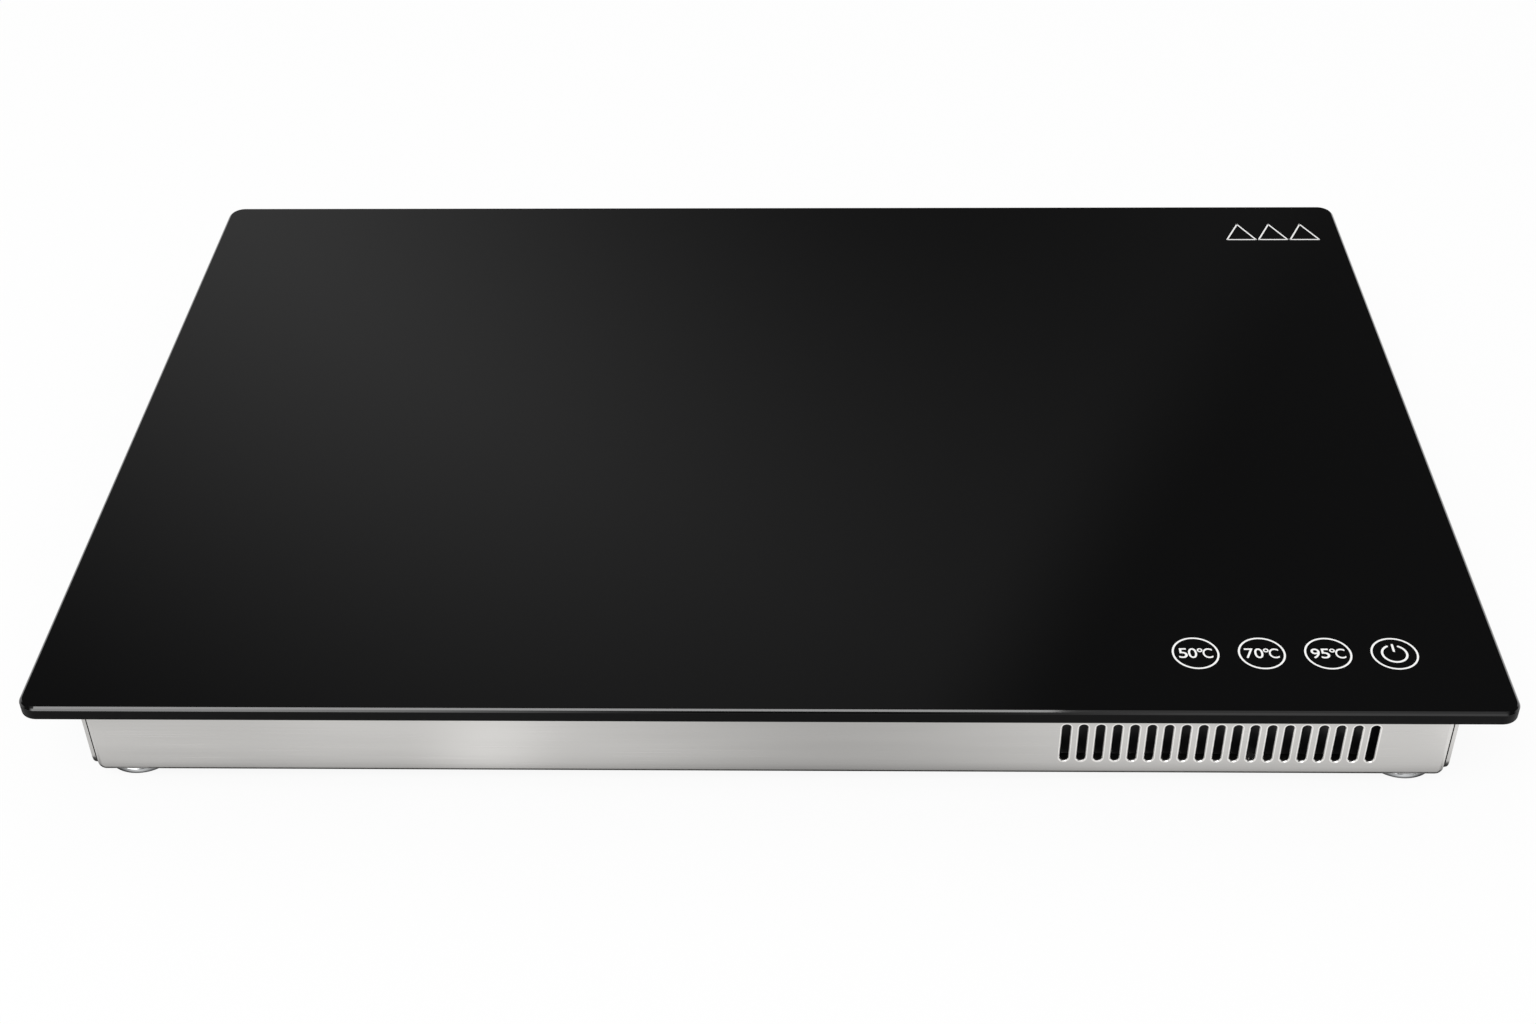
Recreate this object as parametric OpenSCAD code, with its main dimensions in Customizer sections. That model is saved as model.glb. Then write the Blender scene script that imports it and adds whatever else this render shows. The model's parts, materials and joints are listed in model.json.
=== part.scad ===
// Electric food warmer tray: a black glass plate on a low box of folded steel sheet.
// All sizes are in millimetres. The origin lies on the table under the middle of the tray,
// with +X to the right, +Y to the back and +Z up.

/* [Glass top] */
// Width of the glass, left to right
glass_w = 600; // [580:5:640]
// Depth of the glass, front to back
glass_d = 400; // [390:5:440]
// Thickness of the glass
glass_t = 6; // [5:0.5:8]
// Radius of the four corners of the glass
glass_corner_r = 8; // [5:0.5:14]
// Width of the polished bevel along the upper edge
glass_bevel = 1.4; // [0.6:0.1:2]
// Width of the small arris along the lower edge
glass_arris = 0.4; // [0.2:0.1:0.6]
// Overhang of the glass past the steel panels
overhang = 18.4; // [14:0.1:24]

/* [Steel base] */
// Height of the base channel from its underside to its rim
base_h = 47.7; // [45:0.1:52]
// Sheet thickness of the base channel
wall_t = 1.5; // [0.8:0.1:1.5]
// Sheet thickness of the front and rear panels
panel_t = 1; // [0.8:0.1:1.2]
// Outer bend radius along the lower edges of the channel
bend_r = 5.5; // [5:0.5:7]
// Radius of the lower corners of the side walls, at the ends of the channel
wall_end_r = 8.5; // [5:0.5:10]
// Outer bend radius along the rim of the channel
rim_bend_r = 2.5; // [2:0.5:4]
// Outer bend radius round the edges of the panels
panel_edge_r = 2.5; // [2:0.5:3]
// Open seam between the panels and the channel
seam_gap = 0.45; // [0.2:0.05:0.6]
// How far the panels stand out past the ends of the channel
panel_step = 2; // [2:0.2:4]
// How far the ends of the floor lie behind the ends of the side walls
floor_back = 2.6; // [1:0.2:3]
// Depth of the side and lower flanges of the panels
panel_lap = 11; // [9.5:0.5:11.5]
// Width of the rim flanges that carry the glass
rim_w = 10; // [8:0.5:11]
// Thickness of the silicone bead under the glass
seal_t = 0.8; // [0.5:0.1:1.2]
// Width of the silicone bead
seal_w = 6; // [4:0.5:7]

/* [Front slots] */
// Number of slots in the front panel
slot_count = 19; // [10:1:20]
// Distance from slot to slot
slot_pitch = 7; // [6:0.1:7.4]
// Width of a slot
slot_w = 3.6; // [3:0.1:4.2]
// Height of a slot
slot_h = 20.5; // [16:0.5:24]
// Distance of the last slot from the right side of the panel
slot_side = 32; // [28:0.1:34]
// Height of the slots above the lower edge of the panel
slot_rise = 8; // [5:0.1:9]
// Eased edge round each slot
slot_edge = 0.3; // [0.1:0.1:0.4]

/* [Feet] */
// Height of the base above the table, feet screwed in
foot_h = 5.5; // [5.5:0.25:9]
// Diameter of the foot discs
foot_d = 31; // [28:1:34]
// Height of the upright rim of a foot disc
foot_rim = 2; // [1.4:0.1:2.4]
// Distance of a foot axis from the side of the channel
foot_side = 15.5; // [15.5:0.5:20]
// Distance of a foot axis from the face of the nearer panel
foot_end = 20.2; // [19.5:0.1:24]
// How far a foot screws out
foot_travel = 5; // [2:0.5:6]
// Diameter of the foot studs
stud_d = 8; // [6:0.5:8]
// Diameter of the rubber pads
pad_d = 26; // [20:1:27]
// Height of the weld nuts
foot_nut_h = 6.5; // [5:0.5:8]

/* [Heater] */
// Thickness of the aluminium plate under the glass
spreader_t = 1.2; // [0.8:0.1:1.5]
// Diameter of the heating cord
cord_d = 3; // [2.5:0.1:3.4]
// Distance between the runs of the heating cord
cord_pitch = 25; // [23:1:28]
// Thickness of the foil that holds the cord
foil_t = 0.3; // [0.2:0.1:0.4]
// Thickness of the insulation board
insulation_t = 20; // [17:1:22]
// Sheet thickness of the support tray
tray_t = 0.8; // [0.6:0.1:1]
// Height of the upright edge of the support tray
tray_lip_h = 12; // [8:1:14]
// Width of the hat rails under the tray, over the crown
rail_w = 24; // [20:1:30]
// Sheet thickness of the hat rails
rail_t = 1; // [0.8:0.1:1.2]

/* [Electronics bay] */
// Width of the bay, from the right wall to the partition
bay_w = 180; // [176:1:190]
// Depth of the bay, from the face of the front panel to the partition
bay_d = 93; // [90:1:98]
// Sheet thickness of the partition
partition_t = 0.8; // [0.6:0.1:1]
// Width of the power board
board_w = 120; // [116:1:126]
// Depth of the power board
board_d = 56; // [54:0.5:58]
// Thickness of both circuit boards
board_t = 1.6; // [1:0.2:2]
// Height of the pillars under the power board
standoff_h = 8.8; // [7:0.2:10]

/* [Touch keys] */
// Number of keys
key_count = 4; // [3:1:4]
// Distance from key to key
key_pitch = 26.9; // [25:0.1:28]
// Distance of the last key from the right edge of the glass
key_side = 43.1; // [40:0.1:46]
// Distance of the keys from the front edge of the glass
key_front = 35.3; // [35:0.1:38]
// Length of the touch springs between board and glass
spring_h = 8; // [6:0.5:9]
// Outer diameter of the touch springs
spring_d = 7.5; // [6.6:0.1:8]
// Wire diameter of the touch springs
spring_wire = 0.7; // [0.6:0.05:0.8]

/* [Mains inlet] */
// Distance of the inlet from the right wall
inlet_side = 82; // [78:0.5:90]
// Width of the inlet flange
inlet_w = 50; // [48:1:54]
// Height of the inlet flange
inlet_h = 24; // [23:0.5:27]
// Depth of the inlet body behind the face of the panel
inlet_d = 22; // [21:0.5:23]

/* [Hidden] */
$fn = 48;

// Extra reach of a cutter past the faces that it cuts
cut = 1;
// Radial clearance of a turning stud in its bore
run_fit = 0.05;
// Clearance of a fixed pin, screw or lead in its hole
hole_fit = 0.1;
// Clearance where a round or soft piece lies against its seat
seat_gap = 0.1;

// Levels, from the table up
floor_z = foot_h;
floor_top = floor_z + wall_t;
panel_z0 = floor_top + seat_gap;
rim_z = floor_z + base_h;
glass_z = rim_z + seal_t;

// Outlines in plan
half_w = glass_w / 2 - overhang;
half_d = glass_d / 2 - overhang;
wall_in = half_w + seam_gap;
wall_out = wall_in + wall_t;
channel_half_d = half_d - panel_step;
rim_in = wall_out - rim_w;
panel_corner_r = bend_r - wall_t - seam_gap;
panel_mid_z = (panel_z0 + rim_z) / 2;

// Foot sizes
foot_x = wall_out - foot_side;
foot_y = half_d - foot_end;
foot_clear = 0.3;
foot_disc_z = 0.8;
foot_pad_t = 1.4;
foot_socket_floor = 0.5;
foot_collar_wall = 3;
foot_collar_r = stud_d / 2 + foot_collar_wall;
foot_dome_z = foot_disc_z + foot_rim;
foot_disc_top = floor_z - foot_clear;
stud_head_lip = 0.9;
stud_head_r = stud_d / 2 + stud_head_lip;
stud_head_z = foot_pad_t + foot_socket_floor + run_fit;
stud_neck_h = 1.6;
stud_neck_z = foot_disc_top - stud_neck_h;
stud_spare = 2;
stud_top = floor_top + foot_nut_h + foot_travel + stud_spare;
// Corner radius of a hexagon nut, as a share of its thread
nut_ratio = 0.94;
foot_nut_r = stud_d * nut_ratio;
// Play of a stud in the hole of the floor
stud_hole_play = 1;

// Heater stack, from the glass down
spreader_z = glass_z - spreader_t;
cord_z = spreader_z - seat_gap - cord_d / 2;
foil_z = cord_z - cord_d / 2 - seat_gap - foil_t;
insulation_z = foil_z - insulation_t;
tray_z = insulation_z - tray_t;
rail_h = tray_z - floor_top;

// Outline of the hot part in plan, with a corner left free for the electronics
left_gutter = 17.3;
right_gutter = 25.3;
front_gutter = 14;
rear_gutter = 36;
bay_gap = 3.5;
hot_x0 = -wall_in + left_gutter;
hot_x1 = wall_in - right_gutter;
hot_y0 = -half_d + front_gutter;
hot_y1 = half_d - rear_gutter;
bay_x0 = wall_in - bay_w;
bay_y1 = bay_d - half_d;
hot_bay_x = bay_x0 - bay_gap;
hot_bay_y = bay_y1 + bay_gap;

// Heating cord: runs along X, turned back at alternate ends
cord_margin = 17.5;
cord_bend_r = cord_pitch / 2;
cord_rows = 2 * floor(((hot_y1 - hot_y0 - 2 * cord_margin) / cord_pitch + 1) / 2);
cord_left_x = hot_x0 + cord_margin;
function cord_row_y(i) = hot_y0 + cord_margin + i * cord_pitch;
// Both runs of a right-hand turn end at the bay if the nearer one passes it
function cord_right_x(i) =
    cord_row_y(max(0, 2 * ceil(i / 2) - 1)) < hot_bay_y + cord_d
        ? hot_bay_x - cord_margin
        : hot_x1 - cord_margin;
cord_path = [for (i = [0 : cord_rows - 1])
    for (end = [0, 1])
        let (leftward = i % 2 == 0)
            let (at_left = leftward ? end == 1 : end == 0)
                let (tip = (i == 0 && end == 0) || (i == cord_rows - 1 && end == 1))
                    [at_left ? cord_left_x - (tip ? 0 : cord_bend_r / 2)
                        : cord_right_x(i) + (tip ? 0 : cord_bend_r / 2),
                     cord_row_y(i), cord_z]];

// Limiter and sensor under the foil, beside the bay
cutout_x = hot_bay_x - 34;
cutout_y = cord_row_y(1) + 3.75;
cutout_r = 8;
cutout_h = 6;
cutout_tab_l = 5;
cutout_tab_w = 4;
cutout_tab_t = 2.4;
cutout_tab_rise = 1;
sensor_x = hot_bay_x - 30;
sensor_y = cord_row_y(1) + 17;
sensor_d = 5;
sensor_l = 12;
sensor_pocket_w = 8;
pocket_h = 9;
under_foil = foil_z - seat_gap;

// Boards in the bay
board_x0 = bay_x0 + 10;
board_x1 = board_x0 + board_w;
board_y1 = bay_y1 - 8;
board_y0 = board_y1 - board_d;
board_z = floor_top + standoff_h;
board_top = board_z + board_t;
board_hole_in = 4;
// How far the control board reaches over the power board
board_lap = 3.8;

key_x0 = glass_w / 2 - key_side - (key_count - 1) * key_pitch;
key_y = key_front - glass_d / 2;
control_x0 = key_x0 - 12;
control_x1 = key_x0 + (key_count - 1) * key_pitch + 12;
control_y0 = key_y - 7.5;
control_y1 = max(key_y + 16.5, board_y0 + board_lap);
control_top = glass_z - spring_h;
carrier_y1 = key_y + 10.5;
carrier_t = 2;
carrier_top = control_top - board_t;
carrier_leg_x = [control_x0 + 9, control_x1 - 22];
carrier_leg_y = key_y + 4;
carrier_leg_r = 3.5;

// Terminals and leads
way_pitch = 7.5;
way_h = 12;
way_w = 10;
way_in = 2;
terminal_ways = 3;
plug_in = 3;
plug_h = 7;
lead_z = board_top + 5;
left_ways_y = cord_row_y(1);
right_ways_y = board_y1 - 21.5;
lead_d = 2.2;
mains_d = 2.5;
sensor_lead_d = 1.8;
lead_bend_r = 3;
lead_drop_x = bay_x0 + 5;
sleeve_l = 12;
gutter_x = wall_in - 11;
heater_return_x = hot_x1 + 6;
mains_low_z = floor_top + 4;
mains_high_z = mains_low_z + 4;
mains_run_y = hot_y1 + 2.6;

// Mains inlet
inlet_x = wall_in - inlet_side;
inlet_flange_t = 2.5;
inlet_wall = 1.6;
socket_w = 24.4;
socket_h = 17;
socket_d = 17;
socket_bevel = 4.5;
inlet_screw_x = 20;
pin_w = 2;
pin_h = 4;
pin_spread = 7;
pin_drop = 2;
tab_l = 8;
earth_x = inlet_x - 40;
earth_y = hot_y1 + 13;
earth_ring_d = 8;
earth_ring_h = 3;

// Fasteners
screw_d = 3.2;
screw_head_d = 6;
screw_head_h = 1.8;
screw_head_taper = 1.2;
screw_l = 5.5;
rivet_d = 3.2;
rivet_head_d = 6.4;
rivet_head_h = 1.2;

// ---- shared forms -------------------------------------------------------------------------

// Rectangle with four round corners, centred
module round_rect(w, h, r) {
    square([w - 2 * r, h], center = true);
    square([w, h - 2 * r], center = true);
    for (sx = [-1, 1])
        for (sy = [-1, 1])
            translate([sx * (w / 2 - r), sy * (h / 2 - r)])
                circle(r = r);
}

// Upright slot with round ends, centred
module slot_shape(w, h) {
    square([w, h - w], center = true);
    for (s = [-1, 1])
        translate([0, s * (h - w) / 2])
            circle(d = w);
}

// Draws its children with their local Z axis along +Y and their local Y axis along +Z
module facing_back() {
    multmatrix([[1, 0, 0, 0], [0, 0, 1, 0], [0, 1, 0, 0], [0, 0, 0, 1]])
        children();
}

function unit(v) = v / norm(v);
function turn_angle(a, b, c) =
    let (cosine = unit(b - a) * unit(c - b))
        acos(max(-1, min(1, cosine)));

// Round wire or cord along straight stretches, with a true bend at each corner
module wire(points, d, r) {
    last = len(points) - 1;
    for (i = [0 : last - 1]) {
        a = points[i];
        b = points[i + 1];
        u = unit(b - a);
        trim_a = i == 0 ? 0 : r * tan(turn_angle(points[i - 1], a, b) / 2);
        trim_b = i + 1 == last ? 0 : r * tan(turn_angle(a, b, points[i + 2]) / 2);
        span = norm(b - a) - trim_a - trim_b;
        if (span > 0.01)
            wire_stretch(a + u * trim_a, u, span, d);
    }
    for (i = [1 : last - 1])
        wire_bend(points[i - 1], points[i], points[i + 1], d, r);
}

module wire_stretch(start, u, length, d) {
    side = unit(abs(u[2]) < 0.9 ? cross(u, [0, 0, 1]) : cross(u, [1, 0, 0]));
    other = cross(u, side);
    multmatrix([
        [side[0], other[0], u[0], start[0]],
        [side[1], other[1], u[1], start[1]],
        [side[2], other[2], u[2], start[2]],
        [0, 0, 0, 1]])
        cylinder(d = d, h = length);
}

module wire_bend(a, b, c, d, r) {
    u = unit(b - a);
    v = unit(c - b);
    angle = turn_angle(a, b, c);
    inward = unit(v - (v * u) * u);
    start = b - u * r * tan(angle / 2);
    centre = start + inward * r;
    up = cross(-inward, u);
    multmatrix([
        [-inward[0], u[0], up[0], centre[0]],
        [-inward[1], u[1], up[1], centre[1]],
        [-inward[2], u[2], up[2], centre[2]],
        [0, 0, 0, 1]])
        rotate_extrude(angle = angle)
            translate([r, 0])
                circle(d = d);
}

// ---- glass --------------------------------------------------------------------------------

// Profile across the glass, with bevels above and arrises below
module glass_profile(w) {
    polygon([
        [-w / 2 + glass_arris, 0], [w / 2 - glass_arris, 0],
        [w / 2, glass_arris], [w / 2, glass_t - glass_bevel],
        [w / 2 - glass_bevel, glass_t], [-w / 2 + glass_bevel, glass_t],
        [-w / 2, glass_t - glass_bevel], [-w / 2, glass_arris]]);
}

module glass_corner() {
    rotate_extrude()
        polygon([
            [0, 0], [glass_corner_r - glass_arris, 0], [glass_corner_r, glass_arris],
            [glass_corner_r, glass_t - glass_bevel],
            [glass_corner_r - glass_bevel, glass_t], [0, glass_t]]);
}

module glass_top() {
    straight_w = glass_w - 2 * glass_corner_r;
    straight_d = glass_d - 2 * glass_corner_r;
    color("#0b0b0c")
        translate([0, 0, glass_z]) {
            translate([0, straight_d / 2, 0])
                rotate([90, 0, 0])
                    linear_extrude(straight_d)
                        glass_profile(glass_w);
            translate([-straight_w / 2, 0, 0])
                rotate([90, 0, 90])
                    linear_extrude(straight_w)
                        glass_profile(glass_d);
            for (sx = [-1, 1])
                for (sy = [-1, 1])
                    translate([sx * straight_w / 2, sy * straight_d / 2, 0])
                        glass_corner();
        }
}

module glass_seal() {
    inset = 1;
    outer_r = 4;
    inner_r = 2;
    color("#1c1c1e")
        translate([0, 0, rim_z])
            linear_extrude(seal_t)
                difference() {
                    round_rect(2 * (half_w - inset), 2 * (half_d - inset), outer_r);
                    round_rect(2 * (half_w - inset - seal_w), 2 * (half_d - inset - seal_w), inner_r);
                }
}

// ---- steel base ---------------------------------------------------------------------------

// Cross-section of the channel: floor, side walls and rim flanges
module channel_section() {
    module ring(inset) {
        w = wall_out - inset;
        low_r = bend_r - inset;
        rim_r = rim_bend_r - inset;
        z0 = floor_z + inset;
        z1 = rim_z - inset;
        translate([-w + rim_r, z0 + low_r])
            square([2 * (w - rim_r), z1 - z0 - low_r]);
        translate([-w, z0 + low_r])
            square([2 * w, z1 - z0 - low_r - rim_r]);
        translate([-w + low_r, z0])
            square([2 * (w - low_r), low_r + rim_r]);
        for (s = [-1, 1]) {
            translate([s * (w - low_r), z0 + low_r])
                circle(r = low_r);
            translate([s * (w - rim_r), z1 - rim_r])
                circle(r = rim_r);
        }
    }
    difference() {
        ring(0);
        ring(wall_t);
        translate([-rim_in, rim_z - rim_bend_r])
            square([2 * rim_in, rim_bend_r + cut]);
    }
}

// Places for the screws that hold the panels to the floor
panel_screw_y = half_d - (panel_lap + panel_step + floor_back) / 2;
panel_screw_x = [-half_w * 0.72, 0, half_w * 0.72];
// Places for the screws of the board carrier and the partition
partition_flange = 8;
partition_screw_in = (partition_flange + partition_t) / 2;
partition_screw_side = 66;
partition_screw_end = 12;
inner_screws = [
    [carrier_leg_x[0], carrier_leg_y], [carrier_leg_x[1], carrier_leg_y],
    [bay_x0 + partition_screw_in, bay_y1 - partition_screw_side],
    [hot_x1 - partition_screw_end, bay_y1 - partition_screw_in]];

module panel_screw_places() {
    for (s = [-1, 1])
        for (x = panel_screw_x)
            translate([x, s * panel_screw_y, 0])
                children();
}

module inner_screw_places() {
    for (p = inner_screws)
        translate([p[0], p[1], 0])
            children();
}

// Hat rails: [left end, right end, centre line]
rail_end_in = 24;
rail_front_in = 45;
rail_rear_in = 40;
rail_middle_shift = 12;
rail_flange = 10;
rail_rivet_in = 20;
rail_left_x = hot_x0 + rail_end_in;
rail_right_x = hot_x1 - rail_end_in;
rails = [
    [rail_left_x, hot_bay_x - rail_end_in, hot_y0 + rail_front_in],
    [rail_left_x, rail_right_x, (hot_y0 + hot_y1) / 2 + rail_middle_shift],
    [rail_left_x, rail_right_x, hot_y1 - rail_rear_in]];

module rivet_places() {
    for (rail = rails)
        for (x = [rail[0] + rail_rivet_in, rail[1] - rail_rivet_in])
            for (s = [-1, 1])
                translate([x, rail[2] + s * (rail_w + rail_flange) / 2, 0])
                    children();
}

// Air slots in the floor under the power board
air_slot_count = 9;
air_slot_w = 3.2;
air_slot_l = 30;
air_slot_pitch = 10;

module air_slot_places() {
    first = (board_x0 + board_x1) / 2 - (air_slot_count - 1) * air_slot_pitch / 2;
    for (i = [0 : air_slot_count - 1])
        translate([first + i * air_slot_pitch, (board_y0 + board_y1) / 2, 0])
            children();
}

module foot_places() {
    for (sx = [-1, 1])
        for (sy = [-1, 1])
            translate([sx * foot_x, sy * foot_y, 0])
                children();
}

module floor_hole(d) {
    translate([0, 0, floor_z - cut])
        cylinder(d = d, h = wall_t + 2 * cut);
}

// Rounds the lower corners of the side walls at the ends of the channel
module wall_end_cutter() {
    for (sx = [0, 1])
        mirror([sx, 0, 0])
            for (sy = [0, 1])
                mirror([0, sy, 0])
                    translate([wall_out - bend_r, -channel_half_d, floor_z])
                        difference() {
                            translate([0, -cut, -cut])
                                cube([bend_r + cut, wall_end_r + cut, wall_end_r + cut]);
                            translate([-cut, wall_end_r, wall_end_r])
                                rotate([0, 90, 0])
                                    cylinder(r = wall_end_r, h = bend_r + 3 * cut);
                        }
}

// Sets the ends of the floor back behind the lower edges of the panels
module floor_end_cutter() {
    for (sy = [0, 1])
        mirror([0, sy, 0])
            translate([bend_r - wall_out, -channel_half_d - cut, floor_z - cut])
                cube([2 * (wall_out - bend_r), floor_back + cut, wall_t + 2 * cut]);
}

module base_channel() {
    color("#b9b9b7")
        difference() {
            translate([0, channel_half_d, 0])
                rotate([90, 0, 0])
                    linear_extrude(2 * channel_half_d)
                        channel_section();
            foot_places()
                floor_hole(stud_d + stud_hole_play);
            panel_screw_places()
                floor_hole(screw_d + 2 * hole_fit);
            inner_screw_places()
                floor_hole(screw_d + 2 * hole_fit);
            rivet_places()
                floor_hole(rivet_d + 2 * hole_fit);
            air_slot_places()
                translate([0, 0, floor_z - cut])
                    linear_extrude(wall_t + 2 * cut)
                        slot_shape(air_slot_w, air_slot_l);
            wall_end_cutter();
            floor_end_cutter();
        }
}

// Section across the rounded edge of a panel: x is the distance in from the outer side,
// y the distance back from the face
module edge_section(reach, lap) {
    bend_in = panel_edge_r - panel_t;
    translate([panel_edge_r, 0])
        square([reach - panel_edge_r, panel_t]);
    translate([0, panel_edge_r])
        square([panel_t, lap - panel_edge_r]);
    intersection() {
        translate([panel_edge_r, panel_edge_r])
            difference() {
                circle(r = panel_edge_r);
                circle(r = bend_in);
            }
        square([panel_edge_r, panel_edge_r]);
    }
}

// End panel as seen from the front: face, side and lower flanges, rim flange
module end_panel() {
    r = panel_corner_r;
    side_top = rim_z - rim_bend_r;
    rim_half = rim_in - seam_gap;
    // face
    translate([-half_w + r, -half_d, panel_z0 + r])
        cube([2 * (half_w - r), panel_t, side_top - panel_z0 - r]);
    // lower edge
    translate([-half_w + r, -half_d, panel_z0])
        multmatrix([[0, 0, 1, 0], [0, 1, 0, 0], [1, 0, 0, 0], [0, 0, 0, 1]])
            linear_extrude(2 * (half_w - r))
                edge_section(r, panel_lap);
    for (s = [0, 1])
        mirror([s, 0, 0]) {
            // side edge
            translate([-half_w, -half_d, panel_z0 + r])
                linear_extrude(side_top - panel_z0 - r)
                    edge_section(r, panel_lap);
            // lower corner
            translate([-half_w + r, -half_d, panel_z0 + r])
                multmatrix([[-1, 0, 0, 0], [0, 0, 1, 0], [0, -1, 0, 0], [0, 0, 0, 1]])
                    rotate_extrude(angle = 90)
                        translate([r, 0])
                            mirror([1, 0])
                                edge_section(r, panel_lap);
        }
    // rim edge
    translate([-rim_half, -half_d, rim_z])
        multmatrix([[0, 0, 1, 0], [0, 1, 0, 0], [-1, 0, 0, 0], [0, 0, 0, 1]])
            linear_extrude(2 * rim_half)
                edge_section(rim_z - side_top + panel_t, rim_w);
}

// One slot cutter, with its eased edge at the face of the panel
module slot_cutter() {
    straight = slot_h - slot_w;
    facing_back()
        translate([0, 0, -cut])
            linear_extrude(panel_t + 2 * cut)
                slot_shape(slot_w, slot_h);
    for (s = [-1, 1])
        translate([0, -cut, s * straight / 2])
            rotate([-90, 0, 0])
                cylinder(r1 = slot_w / 2 + slot_edge + cut, r2 = slot_w / 2, h = slot_edge + cut);
    translate([0, 0, -straight / 2])
        linear_extrude(straight)
            polygon([
                [-slot_w / 2 - slot_edge - cut, -cut], [slot_w / 2 + slot_edge + cut, -cut],
                [slot_w / 2, slot_edge], [-slot_w / 2, slot_edge]]);
}

module flange_hole() {
    translate([0, 0, panel_z0 - cut])
        cylinder(d = screw_d + 2 * hole_fit, h = panel_t + 2 * cut);
}

module front_panel() {
    color("#c4c4c2")
        difference() {
            end_panel();
            for (i = [0 : slot_count - 1])
                translate([half_w - slot_side - i * slot_pitch, -half_d,
                           panel_z0 + slot_rise + slot_h / 2])
                    slot_cutter();
            for (x = panel_screw_x)
                translate([x, -panel_screw_y, 0])
                    flange_hole();
        }
}

module rear_panel() {
    color("#c4c4c2")
        difference() {
            mirror([0, 1, 0])
                end_panel();
            translate([inlet_x, half_d - panel_t - cut, panel_mid_z])
                facing_back()
                    linear_extrude(panel_t + 2 * cut)
                        socket_outline(inlet_wall + hole_fit);
            for (s = [-1, 1])
                translate([inlet_x + s * inlet_screw_x, half_d - panel_t - cut, panel_mid_z])
                    rotate([-90, 0, 0])
                        cylinder(d = screw_d + 2 * hole_fit, h = panel_t + 2 * cut);
            for (x = panel_screw_x)
                translate([x, panel_screw_y, 0])
                    flange_hole();
        }
}

module floor_screw(length) {
    translate([0, 0, floor_z - screw_head_h])
        cylinder(d1 = screw_head_d - screw_head_taper, d2 = screw_head_d, h = screw_head_h);
    translate([0, 0, floor_z - screw_head_h / 2])
        cylinder(d = screw_d, h = length + screw_head_h / 2);
}

module floor_screws() {
    color("#8f9092") {
        panel_screw_places()
            floor_screw(screw_l);
        inner_screw_places()
            floor_screw(screw_l);
    }
}

// ---- levelling feet -----------------------------------------------------------------------

module foot_nuts() {
    color("#a5a6a8")
        foot_places()
            translate([0, 0, floor_top])
                difference() {
                    cylinder(r = foot_nut_r, h = foot_nut_h, $fn = 6);
                    translate([0, 0, -cut])
                        cylinder(r = stud_d / 2 + run_fit, h = foot_nut_h + 2 * cut);
                }
}

// Feet are numbered front left, front right, rear left, rear right
foot_at = [[-1, -1], [1, -1], [-1, 1], [1, 1]];

module at_foot(i) {
    translate([foot_at[i][0] * foot_x, foot_at[i][1] * foot_y, 0])
        children();
}

module foot_disc(i) {
    rim_round = 0.6;
    color("#d9dadb")
        at_foot(i)
            difference() {
                rotate_extrude()
                    difference() {
                        polygon([
                            [0, foot_disc_z],
                            [foot_d / 2 - rim_round, foot_disc_z],
                            [foot_d / 2, foot_disc_z + rim_round],
                            [foot_d / 2, foot_dome_z - rim_round],
                            [foot_d / 2 - rim_round, foot_dome_z],
                            [foot_collar_r + 2, foot_disc_top - 0.8],
                            [foot_collar_r, foot_disc_top],
                            [0, foot_disc_top]]);
                        // recess for the pad
                        translate([0, foot_disc_z - cut])
                            square([pad_d / 2 + hole_fit, foot_pad_t - foot_disc_z + cut]);
                    }
                // socket in which the head of the stud turns
                translate([0, 0, stud_head_z - run_fit])
                    cylinder(r = stud_head_r + run_fit, h = stud_neck_z - stud_head_z + 2 * run_fit);
                translate([0, 0, stud_neck_z])
                    cylinder(r = stud_d / 2 + run_fit, h = foot_disc_top - stud_neck_z + cut);
            }
}

module foot_pad(i) {
    color("#202022")
        at_foot(i)
            cylinder(d = pad_d, h = foot_pad_t);
}

module foot_stud(i) {
    point_h = 1;
    color("#b3b4b6")
        at_foot(i) {
            translate([0, 0, stud_head_z])
                cylinder(r = stud_head_r, h = stud_neck_z - stud_head_z);
            translate([0, 0, stud_head_z])
                cylinder(r = stud_d / 2, h = stud_top - stud_head_z - point_h);
            translate([0, 0, stud_top - point_h])
                cylinder(r1 = stud_d / 2, r2 = stud_d / 2 - point_h, h = point_h);
        }
}

// ---- heater -------------------------------------------------------------------------------

// Outline of the hot part, drawn in by a given amount on every side
module hot_outline(inset) {
    polygon([
        [hot_x0 + inset, hot_y0 + inset], [hot_bay_x - inset, hot_y0 + inset],
        [hot_bay_x - inset, hot_bay_y + inset], [hot_x1 - inset, hot_bay_y + inset],
        [hot_x1 - inset, hot_y1 - inset], [hot_x0 + inset, hot_y1 - inset]]);
}

module heat_spreader() {
    color("#c9cccf")
        translate([0, 0, spreader_z])
            linear_extrude(spreader_t)
                hot_outline(0);
}

module heater_cord() {
    color("#b8452f")
        wire(cord_path, cord_d, cord_bend_r);
}

module heater_foil() {
    edge = 3;
    color("#d5d8da")
        translate([0, 0, foil_z])
            linear_extrude(foil_t)
                hot_outline(edge);
}

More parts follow.
